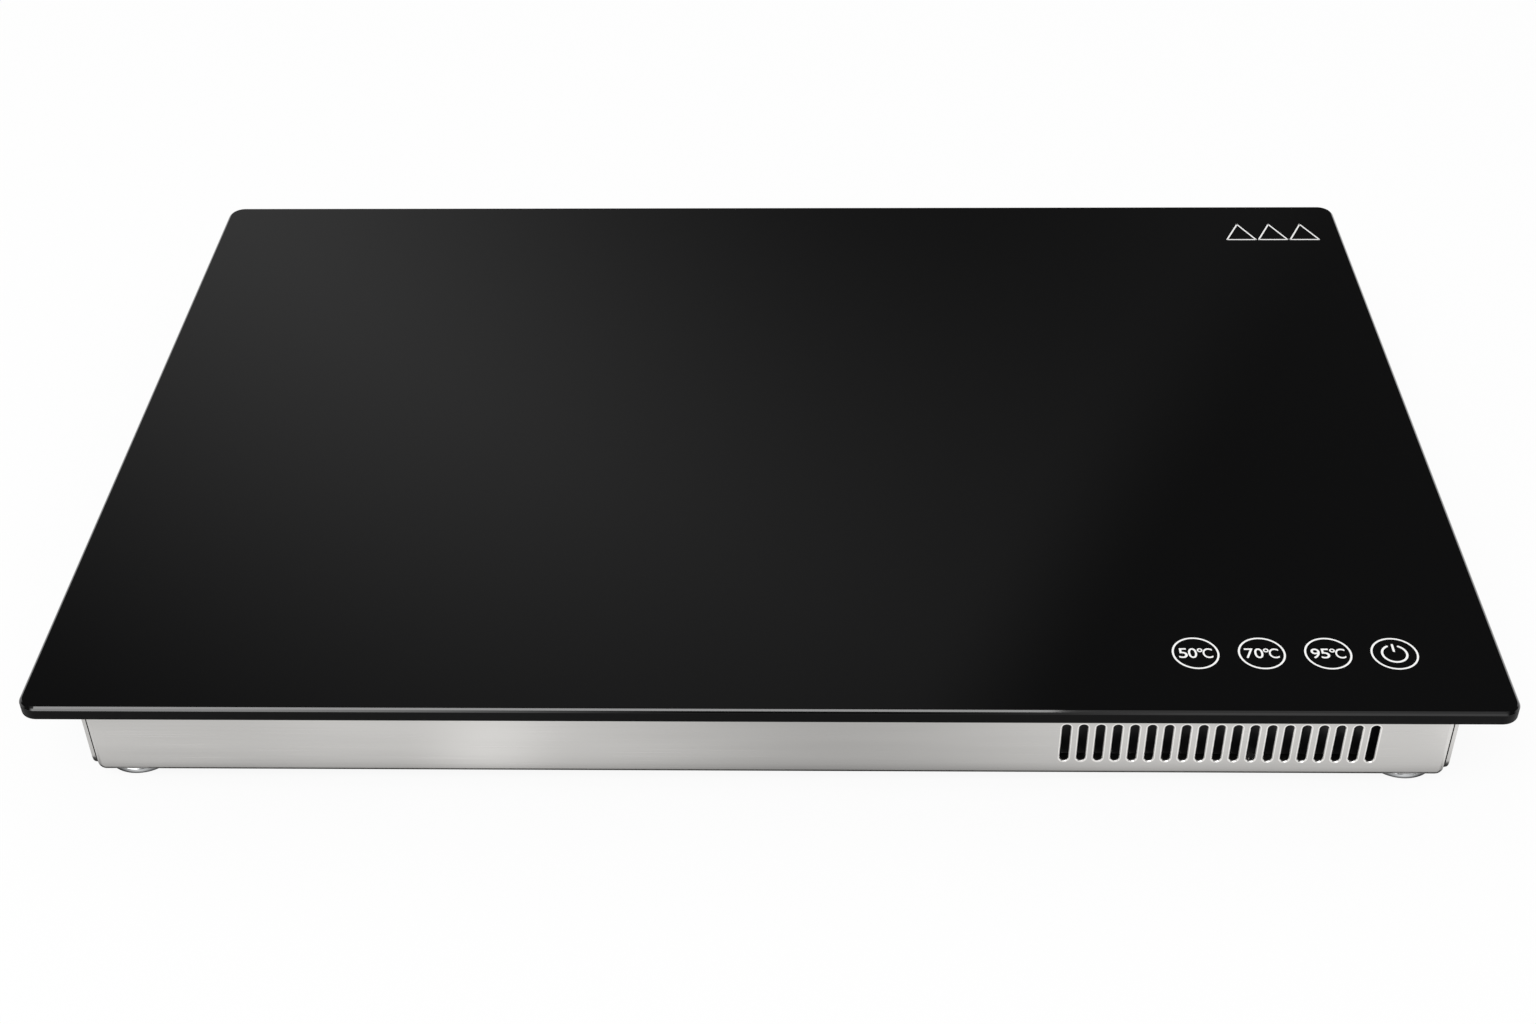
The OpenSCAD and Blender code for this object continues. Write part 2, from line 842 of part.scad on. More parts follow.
module insulation_board() {
    fit = tray_t + 0.3;
    pocket_end = 3;
    pocket_side = 2;
    cutout_pocket_x = cutout_x - cutout_r - pocket_end;
    sensor_pocket_x = sensor_x - sensor_d - pocket_end;
    color("#d8cfae")
        difference() {
            translate([0, 0, insulation_z])
                linear_extrude(insulation_t)
                    hot_outline(fit);
            // pockets for the limiter and the sensor, open towards the bay
            translate([cutout_pocket_x, cutout_y - cutout_r - pocket_side, foil_z - pocket_h])
                cube([hot_bay_x - cutout_pocket_x, 2 * (cutout_r + pocket_side), pocket_h + cut]);
            translate([sensor_pocket_x, sensor_y - sensor_pocket_w / 2, foil_z - pocket_h])
                cube([hot_bay_x - sensor_pocket_x, sensor_pocket_w, pocket_h + cut]);
        }
}

module support_tray() {
    color("#a9adb0")
        difference() {
            translate([0, 0, tray_z])
                linear_extrude(tray_lip_h)
                    hot_outline(0);
            translate([0, 0, insulation_z])
                linear_extrude(tray_lip_h + cut)
                    hot_outline(tray_t);
        }
}

module rail_section() {
    translate([-rail_w / 2, rail_h - rail_t])
        square([rail_w, rail_t]);
    for (s = [0, 1])
        mirror([s, 0]) {
            translate([rail_w / 2 - rail_t, 0])
                square([rail_t, rail_h]);
            translate([rail_w / 2 - rail_t, 0])
                square([rail_flange + rail_t, rail_t]);
        }
}

module support_rails() {
    color("#9fa3a6")
        difference() {
            for (rail = rails)
                translate([rail[0], rail[2], floor_top])
                    rotate([90, 0, 90])
                        linear_extrude(rail[1] - rail[0])
                            rail_section();
            rivet_places()
                translate([0, 0, floor_top - cut])
                    cylinder(d = rivet_d + 2 * hole_fit, h = rail_t + 2 * cut);
        }
}

module rail_rivets() {
    head_taper = 2;
    tail_d = rivet_d + 1.4;
    tail_h = 1.4;
    color("#8d8f92")
        rivet_places() {
            translate([0, 0, floor_z - rivet_head_h])
                cylinder(d1 = rivet_head_d - head_taper, d2 = rivet_head_d, h = rivet_head_h);
            translate([0, 0, floor_z - rivet_head_h / 2])
                cylinder(d = rivet_d, h = wall_t + rail_t + rivet_head_h / 2);
            translate([0, 0, floor_top + rail_t])
                cylinder(d = tail_d, h = tail_h);
        }
}

module thermal_cutout() {
    color("#5a4a3c")
        translate([cutout_x, cutout_y, under_foil - cutout_h]) {
            cylinder(r = cutout_r, h = cutout_h);
            for (s = [-1, 1])
                translate([0, (s * way_pitch - cutout_tab_w) / 2, cutout_tab_rise])
                    cube([cutout_r + cutout_tab_l, cutout_tab_w, cutout_tab_t]);
        }
}

module temp_sensor() {
    color("#3d4144")
        translate([sensor_x, sensor_y, under_foil - sensor_d / 2])
            rotate([0, 90, 0]) {
                cylinder(d = sensor_d, h = sensor_l);
                sphere(d = sensor_d);
            }
}

// ---- electronics bay ----------------------------------------------------------------------

module bay_partition() {
    t = partition_t;
    panel_clear = 2;
    cord_clear = 1.5;
    front_y = -half_d + panel_lap + panel_clear;
    end_x = hot_x1 + panel_clear;
    top_z = cord_z - cord_d / 2 - cord_clear;
    notch_z = foil_z - pocket_h;
    color("#a9adb0")
        difference() {
            union() {
                translate([bay_x0, front_y, floor_top])
                    cube([t, bay_y1 - front_y, top_z - floor_top]);
                translate([bay_x0, bay_y1 - t, floor_top])
                    cube([end_x - bay_x0, t, top_z - floor_top]);
                translate([bay_x0, front_y, floor_top])
                    cube([partition_flange, bay_y1 - front_y, t]);
                translate([bay_x0, bay_y1 - partition_flange, floor_top])
                    cube([end_x - bay_x0, partition_flange, t]);
            }
            // notches through which the leads of the limiter and the sensor pass
            translate([bay_x0 - cut, cutout_y - cutout_r, notch_z])
                cube([t + 2 * cut, 2 * cutout_r, top_z - notch_z + cut]);
            translate([bay_x0 - cut, sensor_y - sensor_pocket_w / 2, notch_z])
                cube([t + 2 * cut, sensor_pocket_w, top_z - notch_z + cut]);
            inner_screw_places()
                translate([0, 0, floor_top - cut])
                    cylinder(d = screw_d + 2 * hole_fit, h = t + 2 * cut);
        }
}

module board_carrier() {
    skirt_t = 1.6;
    skirt_past = 5;
    rib_t = 2;
    skirt_x0 = half_w - slot_side - (slot_count - 1) * slot_pitch - skirt_past;
    skirt_x1 = half_w - slot_side + skirt_past;
    skirt_z0 = panel_z0 + panel_t + 2;
    color("#1d1e20")
        difference() {
            union() {
                translate([control_x0, control_y0, carrier_top - carrier_t])
                    cube([control_x1 - control_x0, carrier_y1 - control_y0, carrier_t]);
                translate([skirt_x0, control_y0, skirt_z0])
                    cube([skirt_x1 - skirt_x0, skirt_t, carrier_top - skirt_z0]);
                for (x = carrier_leg_x)
                    translate([x, carrier_leg_y, floor_top])
                        cylinder(r = carrier_leg_r, h = carrier_top - floor_top - carrier_t / 2);
                for (x = carrier_leg_x)
                    translate([x - rib_t / 2, control_y0 + skirt_t / 2, skirt_z0])
                        cube([rib_t, carrier_leg_y - control_y0 - skirt_t / 2,
                              carrier_top - skirt_z0 - carrier_t / 2]);
            }
            for (x = carrier_leg_x)
                translate([x, carrier_leg_y, floor_top - cut])
                    cylinder(d = screw_d + 2 * hole_fit, h = screw_l + cut);
        }
}

module control_board() {
    color("#1f5a35")
        translate([control_x0, control_y0, carrier_top])
            cube([control_x1 - control_x0, control_y1 - control_y0, board_t]);
}

module key_places() {
    for (i = [0 : key_count - 1])
        translate([key_x0 + i * key_pitch, key_y, 0])
            children();
}

// Touch spring: one wound wire between the board and the underside of the glass
spring_turns = 5;
spring_steps = 10;
spring_sides = 6;
spring_r = (spring_d - spring_wire) / 2;
spring_rise = spring_h - spring_wire - 2 * seat_gap;
spring_rings = spring_turns * spring_steps;
function spring_point(i, k) =
    let (a = 360 * i / spring_steps)
        let (b = 360 * k / spring_sides)
            let (rho = spring_r + spring_wire / 2 * cos(b))
                [rho * cos(a), rho * sin(a),
                 spring_rise * i / spring_rings + spring_wire / 2 * sin(b)];

module touch_spring() {
    n = spring_sides;
    points = [for (i = [0 : spring_rings]) for (k = [0 : n - 1]) spring_point(i, k)];
    sides = [for (i = [0 : spring_rings - 1])
        for (k = [0 : n - 1])
            for (half = [0, 1])
                let (a = i * n + k)
                    let (b = i * n + (k + 1) % n)
                        half == 0 ? [a, a + n, b] : [b, a + n, b + n]];
    start_cap = [for (k = [1 : n - 2]) [0, k, k + 1]];
    last = spring_rings * n;
    end_cap = [for (k = [1 : n - 2]) [last, last + k + 1, last + k]];
    polyhedron(points, concat(sides, start_cap, end_cap));
}

module touch_springs() {
    color("#c9b37a")
        key_places()
            translate([0, 0, control_top + seat_gap + spring_wire / 2])
                touch_spring();
}

module key_leds() {
    led_d = 3;
    led_h = 3.4;
    color("#e8e6df")
        key_places()
            translate([0, 0, control_top]) {
                cylinder(d = led_d, h = led_h);
                translate([0, 0, led_h])
                    sphere(d = led_d);
            }
}

module touch_chip() {
    body = [10, 6, 1.6];
    lead_count = 7;
    lead_pitch = 1.27;
    lead = [0.5, 8, 0.4];
    color("#232427")
        translate([control_x0 + 13, key_y + 10, control_top]) {
            translate([-body[0] / 2, -body[1] / 2, 0])
                cube(body);
            for (i = [0 : lead_count - 1])
                translate([(i - (lead_count - 1) / 2) * lead_pitch - lead[0] / 2, -lead[1] / 2, 0])
                    cube(lead);
        }
}

module board_hole_places() {
    for (x = [board_x0 + board_hole_in, board_x1 - board_hole_in])
        for (y = [board_y0 + board_hole_in, board_y1 - board_hole_in])
            translate([x, y, 0])
                children();
}

module power_board() {
    color("#1f5a35")
        difference() {
            translate([board_x0, board_y0, board_z])
                cube([board_w, board_d, board_t]);
            board_hole_places()
                translate([0, 0, board_z - cut])
                    cylinder(d = screw_d + 2 * hole_fit, h = board_t + 2 * cut);
        }
}

module board_standoffs() {
    standoff_d = 6;
    color("#c8a957")
        board_hole_places()
            translate([0, 0, floor_top])
                difference() {
                    cylinder(d = standoff_d, h = standoff_h);
                    translate([0, 0, standoff_h - screw_l])
                        cylinder(d = screw_d + 2 * hole_fit, h = screw_l + cut);
                }
}

module board_screws() {
    color("#8f9092")
        board_hole_places()
            translate([0, 0, board_top]) {
                cylinder(d1 = screw_head_d, d2 = screw_head_d - screw_head_taper, h = screw_head_h);
                translate([0, 0, screw_head_h / 2 - screw_l])
                    cylinder(d = screw_d, h = screw_l);
            }
}

module relay() {
    size = [19, 15.5, 15.5];
    from_right = 24;
    from_rear = 9.5;
    color("#2b4f86")
        translate([board_x1 - from_right - size[0], board_y1 - from_rear - size[1], board_top])
            cube(size);
}

// Laminated core with the winding through its window
module transformer() {
    core = [28, 20, 22];
    winding = [20, 28, 16];
    from_left = 32;
    from_rear = 22;
    translate([board_x0 + from_left + core[0] / 2, board_y1 - from_rear, board_top + core[2] / 2]) {
        color("#3a3a3d")
            cube(core, center = true);
        color("#caa24a")
            cube(winding, center = true);
    }
}

module capacitors() {
    can_d = 12;
    can_h = 18;
    can_pitch = 14;
    top_h = 0.6;
    from_right = 32;
    from_front = 10;
    color("#26324a")
        for (i = [0, 1])
            translate([board_x1 - from_right - i * can_pitch, board_y0 + from_front, board_top]) {
                cylinder(d = can_d, h = can_h);
                translate([0, 0, can_h])
                    cylinder(d1 = can_d, d2 = can_d - 2 * top_h, h = top_h);
            }
}

module fuse() {
    fuse_l = 20;
    cap_l = 5;
    cap_r = 2.6;
    tube_r = 2.3;
    clip_l = 4;
    clip_w = 6.4;
    fuse_x = board_x0 + 36;
    fuse_y = board_y0 + 10;
    fuse_z = board_top + 5;
    color("#c9cdd0") {
        translate([fuse_x, fuse_y, fuse_z])
            rotate([0, 90, 0])
                cylinder(r = tube_r, h = fuse_l);
        for (x = [fuse_x, fuse_x + fuse_l - cap_l]) {
            translate([x, fuse_y, fuse_z])
                rotate([0, 90, 0])
                    cylinder(r = cap_r, h = cap_l);
            translate([x + (cap_l - clip_l) / 2, fuse_y - clip_w / 2, board_top])
                cube([clip_l, clip_w, fuse_z - board_top]);
        }
    }
}

module terminal_block(ways) {
    end_wall = 0.5;
    well_d = 4;
    well_h = 3;
    length = ways * way_pitch + 2 * end_wall;
    difference() {
        translate([0, -length / 2, 0])
            cube([way_w, length, way_h]);
        // wells of the clamping screws
        for (i = [0 : ways - 1])
            translate([way_w / 2, (i - (ways - 1) / 2) * way_pitch, way_h - well_h])
                cylinder(d = well_d, h = well_h + cut);
    }
}

module terminal_blocks() {
    color("#2f7d4a") {
        translate([board_x0 + way_in, left_ways_y, board_top])
            terminal_block(terminal_ways);
        translate([board_x1 - way_in - way_w, right_ways_y, board_top])
            terminal_block(terminal_ways);
    }
}

module sensor_plug() {
    plug_w = 8;
    plug_d = 6;
    color("#e9e7e0")
        translate([board_x0 + plug_in, sensor_y - plug_w / 2, board_top])
            cube([plug_d, plug_w, plug_h]);
}

module ribbon_cable() {
    width = 14;
    ribbon_t = 1;
    loop_r = 4;
    rise = carrier_top - board_top;
    ribbon_x = board_x1 - width - 9;
    ribbon_y = (board_y0 + control_y1 + ribbon_t) / 2;
    color("#8a8d93")
        translate([ribbon_x, ribbon_y, board_top])
            multmatrix([[0, 0, 1, 0], [1, 0, 0, 0], [0, 1, 0, 0], [0, 0, 0, 1]])
                linear_extrude(width) {
                    translate([-ribbon_t, 0])
                        square([ribbon_t, rise / 2 - loop_r + ribbon_t / 2]);
                    translate([-ribbon_t, rise / 2 + loop_r - ribbon_t / 2])
                        square([ribbon_t, rise / 2 - loop_r + ribbon_t / 2]);
                    translate([0, rise / 2])
                        intersection() {
                            difference() {
                                circle(r = loop_r + ribbon_t / 2);
                                circle(r = loop_r - ribbon_t / 2);
                            }
                            translate([-ribbon_t, -2 * loop_r])
                                square([3 * loop_r, 4 * loop_r]);
                        }
                }
}

// ---- mains inlet --------------------------------------------------------------------------

// Outline of the inlet socket, grown by a wall; two corners are cut off on the earth side
module socket_outline(grow) {
    w = socket_w / 2 + grow;
    h = socket_h / 2 + grow;
    bevel = socket_bevel + grow * (2 - sqrt(2));
    polygon([
        [-w, -h], [w, -h], [w, h - bevel], [w - bevel, h], [-w + bevel, h], [-w, h - bevel]]);
}

module inlet_body() {
    flange_r = 5;
    color("#17181a")
        translate([inlet_x, half_d, panel_mid_z])
            difference() {
                union() {
                    facing_back()
                        linear_extrude(inlet_flange_t)
                            round_rect(inlet_w, inlet_h, flange_r);
                    translate([0, -inlet_d, 0])
                        facing_back()
                            linear_extrude(inlet_d + inlet_flange_t / 2)
                                socket_outline(inlet_wall);
                }
                translate([0, inlet_flange_t - socket_d, 0])
                    facing_back()
                        linear_extrude(socket_d + cut)
                            socket_outline(0);
                for (s = [-1, 1])
                    translate([s * inlet_screw_x, -cut, 0])
                        rotate([-90, 0, 0])
                            cylinder(d = screw_d + 2 * hole_fit, h = inlet_flange_t + 2 * cut);
                for (p = [[-pin_spread, -pin_drop], [pin_spread, -pin_drop], [0, pin_drop]])
                    translate([p[0], -inlet_d / 2, p[1]])
                        cube([pin_w, inlet_d + 2, pin_h], center = true);
            }
}

module inlet_pins() {
    recess = 1.5;
    color("#c9b98a")
        translate([inlet_x, half_d, panel_mid_z])
            for (p = [[-pin_spread, -pin_drop], [pin_spread, -pin_drop], [0, pin_drop]])
                translate([p[0] - pin_w / 2, -inlet_d - tab_l, p[1] - pin_h / 2])
                    cube([pin_w, inlet_d + tab_l + inlet_flange_t - recess, pin_h]);
}

module inlet_screws() {
    head_edge = 0.4;
    nut_h = 2.4;
    nut_r = screw_d;
    end_l = 1;
    color("#8f9092")
        for (s = [-1, 1])
            translate([inlet_x + s * inlet_screw_x, half_d + inlet_flange_t, panel_mid_z])
                rotate([-90, 0, 0]) {
                    cylinder(d1 = screw_head_d - head_edge, h = screw_head_h,
                             d2 = screw_head_d - head_edge - screw_head_taper);
                    translate([0, 0, -inlet_flange_t - panel_t - nut_h - end_l])
                        cylinder(d = screw_d, h = inlet_flange_t + panel_t + nut_h + 2 * end_l);
                    translate([0, 0, -inlet_flange_t - panel_t - nut_h])
                        cylinder(r = nut_r, h = nut_h, $fn = 6);
                }
}

// Stud with the ring of the earth lead held under a nut
module earth_stud() {
    thread_d = 4;
    thread_l = 12;
    nut_h = 3.2;
    color("#c8a957")
        translate([earth_x, earth_y, floor_top]) {
            cylinder(d = earth_ring_d, h = earth_ring_h);
            cylinder(d = thread_d, h = thread_l);
            translate([0, 0, earth_ring_h])
                cylinder(r = thread_d, h = nut_h, $fn = 6);
        }
}

// ---- wiring held inside the base ----------------------------------------------------------

tab_end_y = half_d - inlet_d - tab_l;

module mains_leads() {
    live_y = right_ways_y - way_pitch;
    block_x = board_x1 - way_in;
    color("#6b4a2c")
        wire([
            [inlet_x - pin_spread, tab_end_y, panel_mid_z - pin_drop],
            [inlet_x - pin_spread, mains_run_y, panel_mid_z - pin_drop],
            [inlet_x - pin_spread, mains_run_y, mains_low_z],
            [gutter_x, mains_run_y, mains_low_z],
            [gutter_x, live_y, mains_low_z],
            [gutter_x, live_y, lead_z],
            [block_x, live_y, lead_z]], mains_d, lead_bend_r);
    color("#3a5f9e")
        wire([
            [inlet_x + pin_spread, tab_end_y, panel_mid_z - pin_drop],
            [inlet_x + pin_spread, mains_run_y, panel_mid_z - pin_drop],
            [inlet_x + pin_spread, mains_run_y, mains_high_z],
            [gutter_x, mains_run_y, mains_high_z],
            [gutter_x, right_ways_y, mains_high_z],
            [gutter_x, right_ways_y, lead_z],
            [block_x, right_ways_y, lead_z]], mains_d, lead_bend_r);
}

module earth_lead() {
    ring_z = floor_top + 2;
    color("#7f9a3a")
        wire([
            [inlet_x, tab_end_y, panel_mid_z + pin_drop],
            [inlet_x, mains_run_y, panel_mid_z + pin_drop],
            [earth_x, mains_run_y, panel_mid_z + pin_drop],
            [earth_x, mains_run_y, ring_z],
            [earth_x, earth_y - earth_ring_d / 2 - seat_gap, ring_z]], mains_d, lead_bend_r);
}

module heater_leads() {
    first_way_y = left_ways_y - way_pitch;
    last = cord_rows - 1;
    crossing_z = lead_z + 14;
    return_y = right_ways_y + way_pitch;
    color("#b98a5e") {
        wire([
            [cord_right_x(0) + sleeve_l, cord_row_y(0), cord_z],
            [lead_drop_x, cord_row_y(0), cord_z],
            [lead_drop_x, cord_row_y(0), crossing_z],
            [lead_drop_x, first_way_y, crossing_z],
            [lead_drop_x, first_way_y, lead_z],
            [board_x0 + way_in, first_way_y, lead_z]], lead_d, lead_bend_r);
        wire([
            [cord_right_x(last) + sleeve_l, cord_row_y(last), cord_z],
            [heater_return_x, cord_row_y(last), cord_z],
            [heater_return_x, return_y, cord_z],
            [heater_return_x, return_y, lead_z],
            [board_x1 - way_in, return_y, lead_z]], lead_d, lead_bend_r);
    }
}

module lead_sleeves() {
    last = cord_rows - 1;
    color("#e3ddcf")
        for (i = [0, last])
            translate([cord_right_x(i), cord_row_y(i), cord_z])
                rotate([0, 90, 0])
                    cylinder(d = cord_d, h = sleeve_l);
}

module cutout_leads() {
    tab_z = under_foil - cutout_h + cutout_tab_rise + cutout_tab_t / 2;
    color("#c4553c")
        for (s = [-1, 1])
            wire([
                [cutout_x + cutout_r + cutout_tab_l, cutout_y + s * way_pitch / 2, tab_z],
                [lead_drop_x, cutout_y + s * way_pitch / 2, tab_z],
                [lead_drop_x, cutout_y + s * way_pitch / 2, lead_z],
                [board_x0 + way_in, cutout_y + s * way_pitch / 2, lead_z]], lead_d, lead_bend_r);
}

module sensor_lead() {
    color("#4a4c50")
        wire([
            [sensor_x + sensor_l, sensor_y, under_foil - sensor_d / 2],
            [lead_drop_x, sensor_y, under_foil - sensor_d / 2],
            [lead_drop_x, sensor_y, board_top + plug_h / 2],
            [board_x0 + plug_in, sensor_y, board_top + plug_h / 2]], sensor_lead_d, lead_bend_r);
}

module cable_clips() {
    clip_w = 8;
    clip_l = 6;
    clip_h = mains_high_z + mains_d / 2 + 1.6 - floor_top;
    color("#e6e4dc")
        for (y = [hot_y1 - 60, 0, bay_y1 + 20])
            translate([gutter_x, y, floor_top])
                difference() {
                    translate([-clip_w / 2, -clip_l / 2, 0])
                        cube([clip_w, clip_l, clip_h]);
                    for (z = [mains_low_z, mains_high_z])
                        translate([0, -clip_l / 2 - cut, z - floor_top])
                            rotate([-90, 0, 0])
                                cylinder(d = mains_d + 2 * hole_fit, h = clip_l + 2 * cut);
                }
}

// ---- drawing ------------------------------------------------------------------------------

glass_top();
glass_seal();
base_channel();
front_panel();
rear_panel();
floor_screws();
foot_nuts();
foot_disc(0);  // foot_disc_1
foot_disc(1);  // foot_disc_2
foot_disc(2);  // foot_disc_3
foot_disc(3);  // foot_disc_4
foot_pad(0);  // foot_pad_1
foot_pad(1);  // foot_pad_2
foot_pad(2);  // foot_pad_3
foot_pad(3);  // foot_pad_4
foot_stud(0);  // foot_stud_1
foot_stud(1);  // foot_stud_2
foot_stud(2);  // foot_stud_3
foot_stud(3);  // foot_stud_4
heat_spreader();
heater_cord();
heater_foil();
insulation_board();
support_tray();
support_rails();
rail_rivets();
bay_partition();
thermal_cutout();
temp_sensor();
board_carrier();
control_board();
touch_springs();
key_leds();
touch_chip();
power_board();
board_standoffs();
board_screws();
relay();
transformer();
capacitors();
fuse();
terminal_blocks();
sensor_plug();
ribbon_cable();
inlet_body();
inlet_pins();
inlet_screws();
earth_stud();
mains_leads();
earth_lead();
heater_leads();
cutout_leads();
sensor_lead();
lead_sleeves();
cable_clips();
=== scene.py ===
import json
import math

import bmesh
import bpy
from bpy.props import FloatProperty, FloatVectorProperty, IntProperty, PointerProperty
from mathutils import Matrix, Vector

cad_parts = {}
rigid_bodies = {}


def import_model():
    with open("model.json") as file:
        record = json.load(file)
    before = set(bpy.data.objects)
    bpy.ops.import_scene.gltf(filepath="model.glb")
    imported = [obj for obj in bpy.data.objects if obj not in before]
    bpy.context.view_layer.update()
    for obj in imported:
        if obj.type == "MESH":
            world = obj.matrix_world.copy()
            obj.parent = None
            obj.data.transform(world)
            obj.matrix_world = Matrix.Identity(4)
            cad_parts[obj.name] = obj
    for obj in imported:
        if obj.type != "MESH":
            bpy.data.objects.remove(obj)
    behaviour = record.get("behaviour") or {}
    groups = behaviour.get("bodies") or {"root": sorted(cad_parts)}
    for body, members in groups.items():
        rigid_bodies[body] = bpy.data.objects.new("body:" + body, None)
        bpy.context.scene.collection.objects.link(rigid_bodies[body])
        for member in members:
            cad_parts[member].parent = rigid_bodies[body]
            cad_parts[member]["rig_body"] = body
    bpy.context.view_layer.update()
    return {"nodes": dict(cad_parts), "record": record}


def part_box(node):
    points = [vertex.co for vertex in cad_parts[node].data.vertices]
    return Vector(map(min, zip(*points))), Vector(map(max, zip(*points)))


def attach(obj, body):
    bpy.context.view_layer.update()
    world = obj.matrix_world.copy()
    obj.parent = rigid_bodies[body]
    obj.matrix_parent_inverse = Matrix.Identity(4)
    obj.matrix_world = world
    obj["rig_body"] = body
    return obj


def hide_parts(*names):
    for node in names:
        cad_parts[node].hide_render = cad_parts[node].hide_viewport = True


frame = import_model()

bl_info = {
    "name": "Warming Tray",
    "version": (1, 0, 0),
    "blender": (4, 5, 0),
    "location": "3D View > Sidebar > Warming Tray",
    "description": "Finishes a glass-topped food warming tray and sets its studio",
    "category": "Object",
}

UP = Vector((0, 0, 1))
FULL_TURN = 2 * math.pi
WELD = 1e-6
FEET = 4


# ---- sizes and colours that a user would change ----

def setting(name, default, description, kind=FloatProperty, **limits):
    return kind(name=name, description=description, default=default, **limits)


def length(*words):
    return setting(*words, min=0.0, precision=5, unit="LENGTH")


def colour(*words):
    return setting(*words, FloatVectorProperty, size=3, min=0.0, max=1.0, subtype="COLOR")


class GlassSizes(bpy.types.PropertyGroup):
    corner: length("Corner Radius", 0.008, "Radius of the four corners of the glass")
    bevel: length("Bevel", 0.0014, "Width of the polished bevel along the upper edge")
    arris: length("Arris", 0.00015, "Width of the ground arris along the lower edge")
    polish: length("Polish", 0.0002, "Rounding that polishing leaves on every edge")
    ink: length("Ink Thickness", 0.00004, "How far the printed marks stand on the glass")


class PrintSizes(bpy.types.PropertyGroup):
    key_pitch: length("Key Pitch", 0.0269, "Distance from key to key")
    key_side: length("Key Side", 0.0437, "Distance of the last key from the right edge")
    key_front: length("Key Front", 0.0353, "Distance of the keys from the front edge")
    ring: length("Ring Radius", 0.0092, "Radius of the key rings, on the middle of the line")
    line: length("Line Width", 0.00080, "Width of the printed lines")
    label_height: length("Label Height", 0.0059, "Height of the figures")
    figure_width: length("Figure Width", 0.0036, "Width of one figure of a label")
    letter_width: length("Letter Width", 0.00405, "Width of the letter of a label")
    figure_gap: length("Figure Gap", 0.0003, "Space between the figures of a label")
    degree: length("Degree Ring", 0.0023, "Outer diameter of the degree ring")
    power: length("Power Radius", 0.0050, "Radius of the broken ring of the power key")
    power_line: length("Power Line", 0.00092, "Line width of the power key")
    mark_width: length("Mark Width", 0.0165, "Width of a corner mark")
    mark_height: length("Mark Height", 0.0171, "Height of a corner mark")
    mark_pitch: length("Mark Pitch", 0.0167, "Distance from corner mark to corner mark")
    mark_side: length("Mark Side", 0.0204, "Distance of the last mark from the right edge")
    mark_back: length("Mark Back", 0.0190, "Distance of the tips of the marks from the back edge")


class FootSizes(bpy.types.PropertyGroup):
    collar: length("Collar Radius", 0.0066, "Radius of the collar round the stud")
    rim: length("Rim Height", 0.0020, "Height of the upright rim of a foot disc")
    thread: length("Thread Pitch", 0.00125, "Pitch of the stud thread")
    groove: length("Groove", 0.0006, "Depth of the grooves under a rubber pad")


# these sizes only place the painted highlight round each slot of the front panel
class SlotSizes(bpy.types.PropertyGroup):
    count: setting("Slots", 19, "Number of slots in the front panel", IntProperty)
    pitch: length("Slot Pitch", 0.007, "Distance from slot to slot")
    width: length("Slot Width", 0.0036, "Width of a slot")
    height: length("Slot Height", 0.0205, "Height of a slot")
    side: length("Slot Side", 0.032, "Distance of the last slot from the right end of the panel")
    rise: length("Slot Rise", 0.008, "Height of the slots above the lower edge of the panel")
    # width of the painted highlight round each slot
    line: length("Bright Line", 0.0009, "Width of the bright line that punching leaves")


class Colours(bpy.types.PropertyGroup):
    glass: colour("Glass", (0.0026, 0.0026, 0.0027), "Black glass")
    ink: colour("Ink", (0.92, 0.92, 0.91), "White print on the glass")
    steel: colour("Steel", (0.616, 0.606, 0.590), "Brushed stainless steel")
    chrome: colour("Chrome", (0.72, 0.73, 0.74), "Polished foot discs")
    zinc: colour("Zinc", (0.50, 0.52, 0.54), "Zinc-plated sheet and nuts")
    aluminium: colour("Aluminium", (0.70, 0.71, 0.72), "Spreader plate and foil")
    brass: colour("Brass", (0.62, 0.48, 0.24), "Plated brass contacts")
    rubber: colour("Rubber", (0.018, 0.018, 0.019), "Pads and seal")
    moulding: colour("Moulding", (0.009, 0.009, 0.010), "Black mouldings")
    natural: colour("Natural", (0.72, 0.71, 0.66), "Undyed nylon and glass sleeve")
    board: colour("Board", (0.012, 0.085, 0.03), "Solder resist")
    cord: colour("Cord", (0.42, 0.07, 0.035), "Silicone sleeve of the heating cord")
    mineral: colour("Mineral", (0.62, 0.56, 0.41), "Mineral fibre board")
    relay: colour("Relay", (0.02, 0.07, 0.26), "Relay cover")
    sleeve: colour("Sleeve", (0.012, 0.022, 0.06), "Capacitor sleeve")
    terminal: colour("Terminal", (0.02, 0.22, 0.06), "Terminal blocks")
    lead_brown: colour("Brown Lead", (0.13, 0.045, 0.015), "Live lead")
    lead_green: colour("Green Lead", (0.05, 0.28, 0.03), "Earth lead")
    lead_yellow: colour("Yellow Stripe", (0.72, 0.62, 0.03), "Stripe of the earth lead")
    lead_grey: colour("Grey Lead", (0.13, 0.13, 0.14), "Ribbon and sensor lead")


class Studio(bpy.types.PropertyGroup):
    lens: setting("Lens", 49.463, "Focal length, in millimetres")
    place: setting("Camera", (0.02026, -0.81164, 0.63615), "Place of the camera",
                   FloatVectorProperty, size=3, subtype="TRANSLATION")
    turn: setting("Turn", [math.radians(a) for a in (52.112, 0.716, 1.053)],
                  "Turn of the camera", FloatVectorProperty, size=3, subtype="EULER")
    fill: setting("Fill", 0.75, "Soft light from all round")
    key: setting("Key", 34.0, "Power of the large softbox, in watts")
    floor: setting("Floor Shadow", 0.08, "Share of the floor that is shaded", min=0.0, max=1.0)
    gleam: setting("Floor Gleam", 0.95, "Brightness of the floor in reflections", min=0.0, max=2.0)


# ---- shared effects as node groups ----

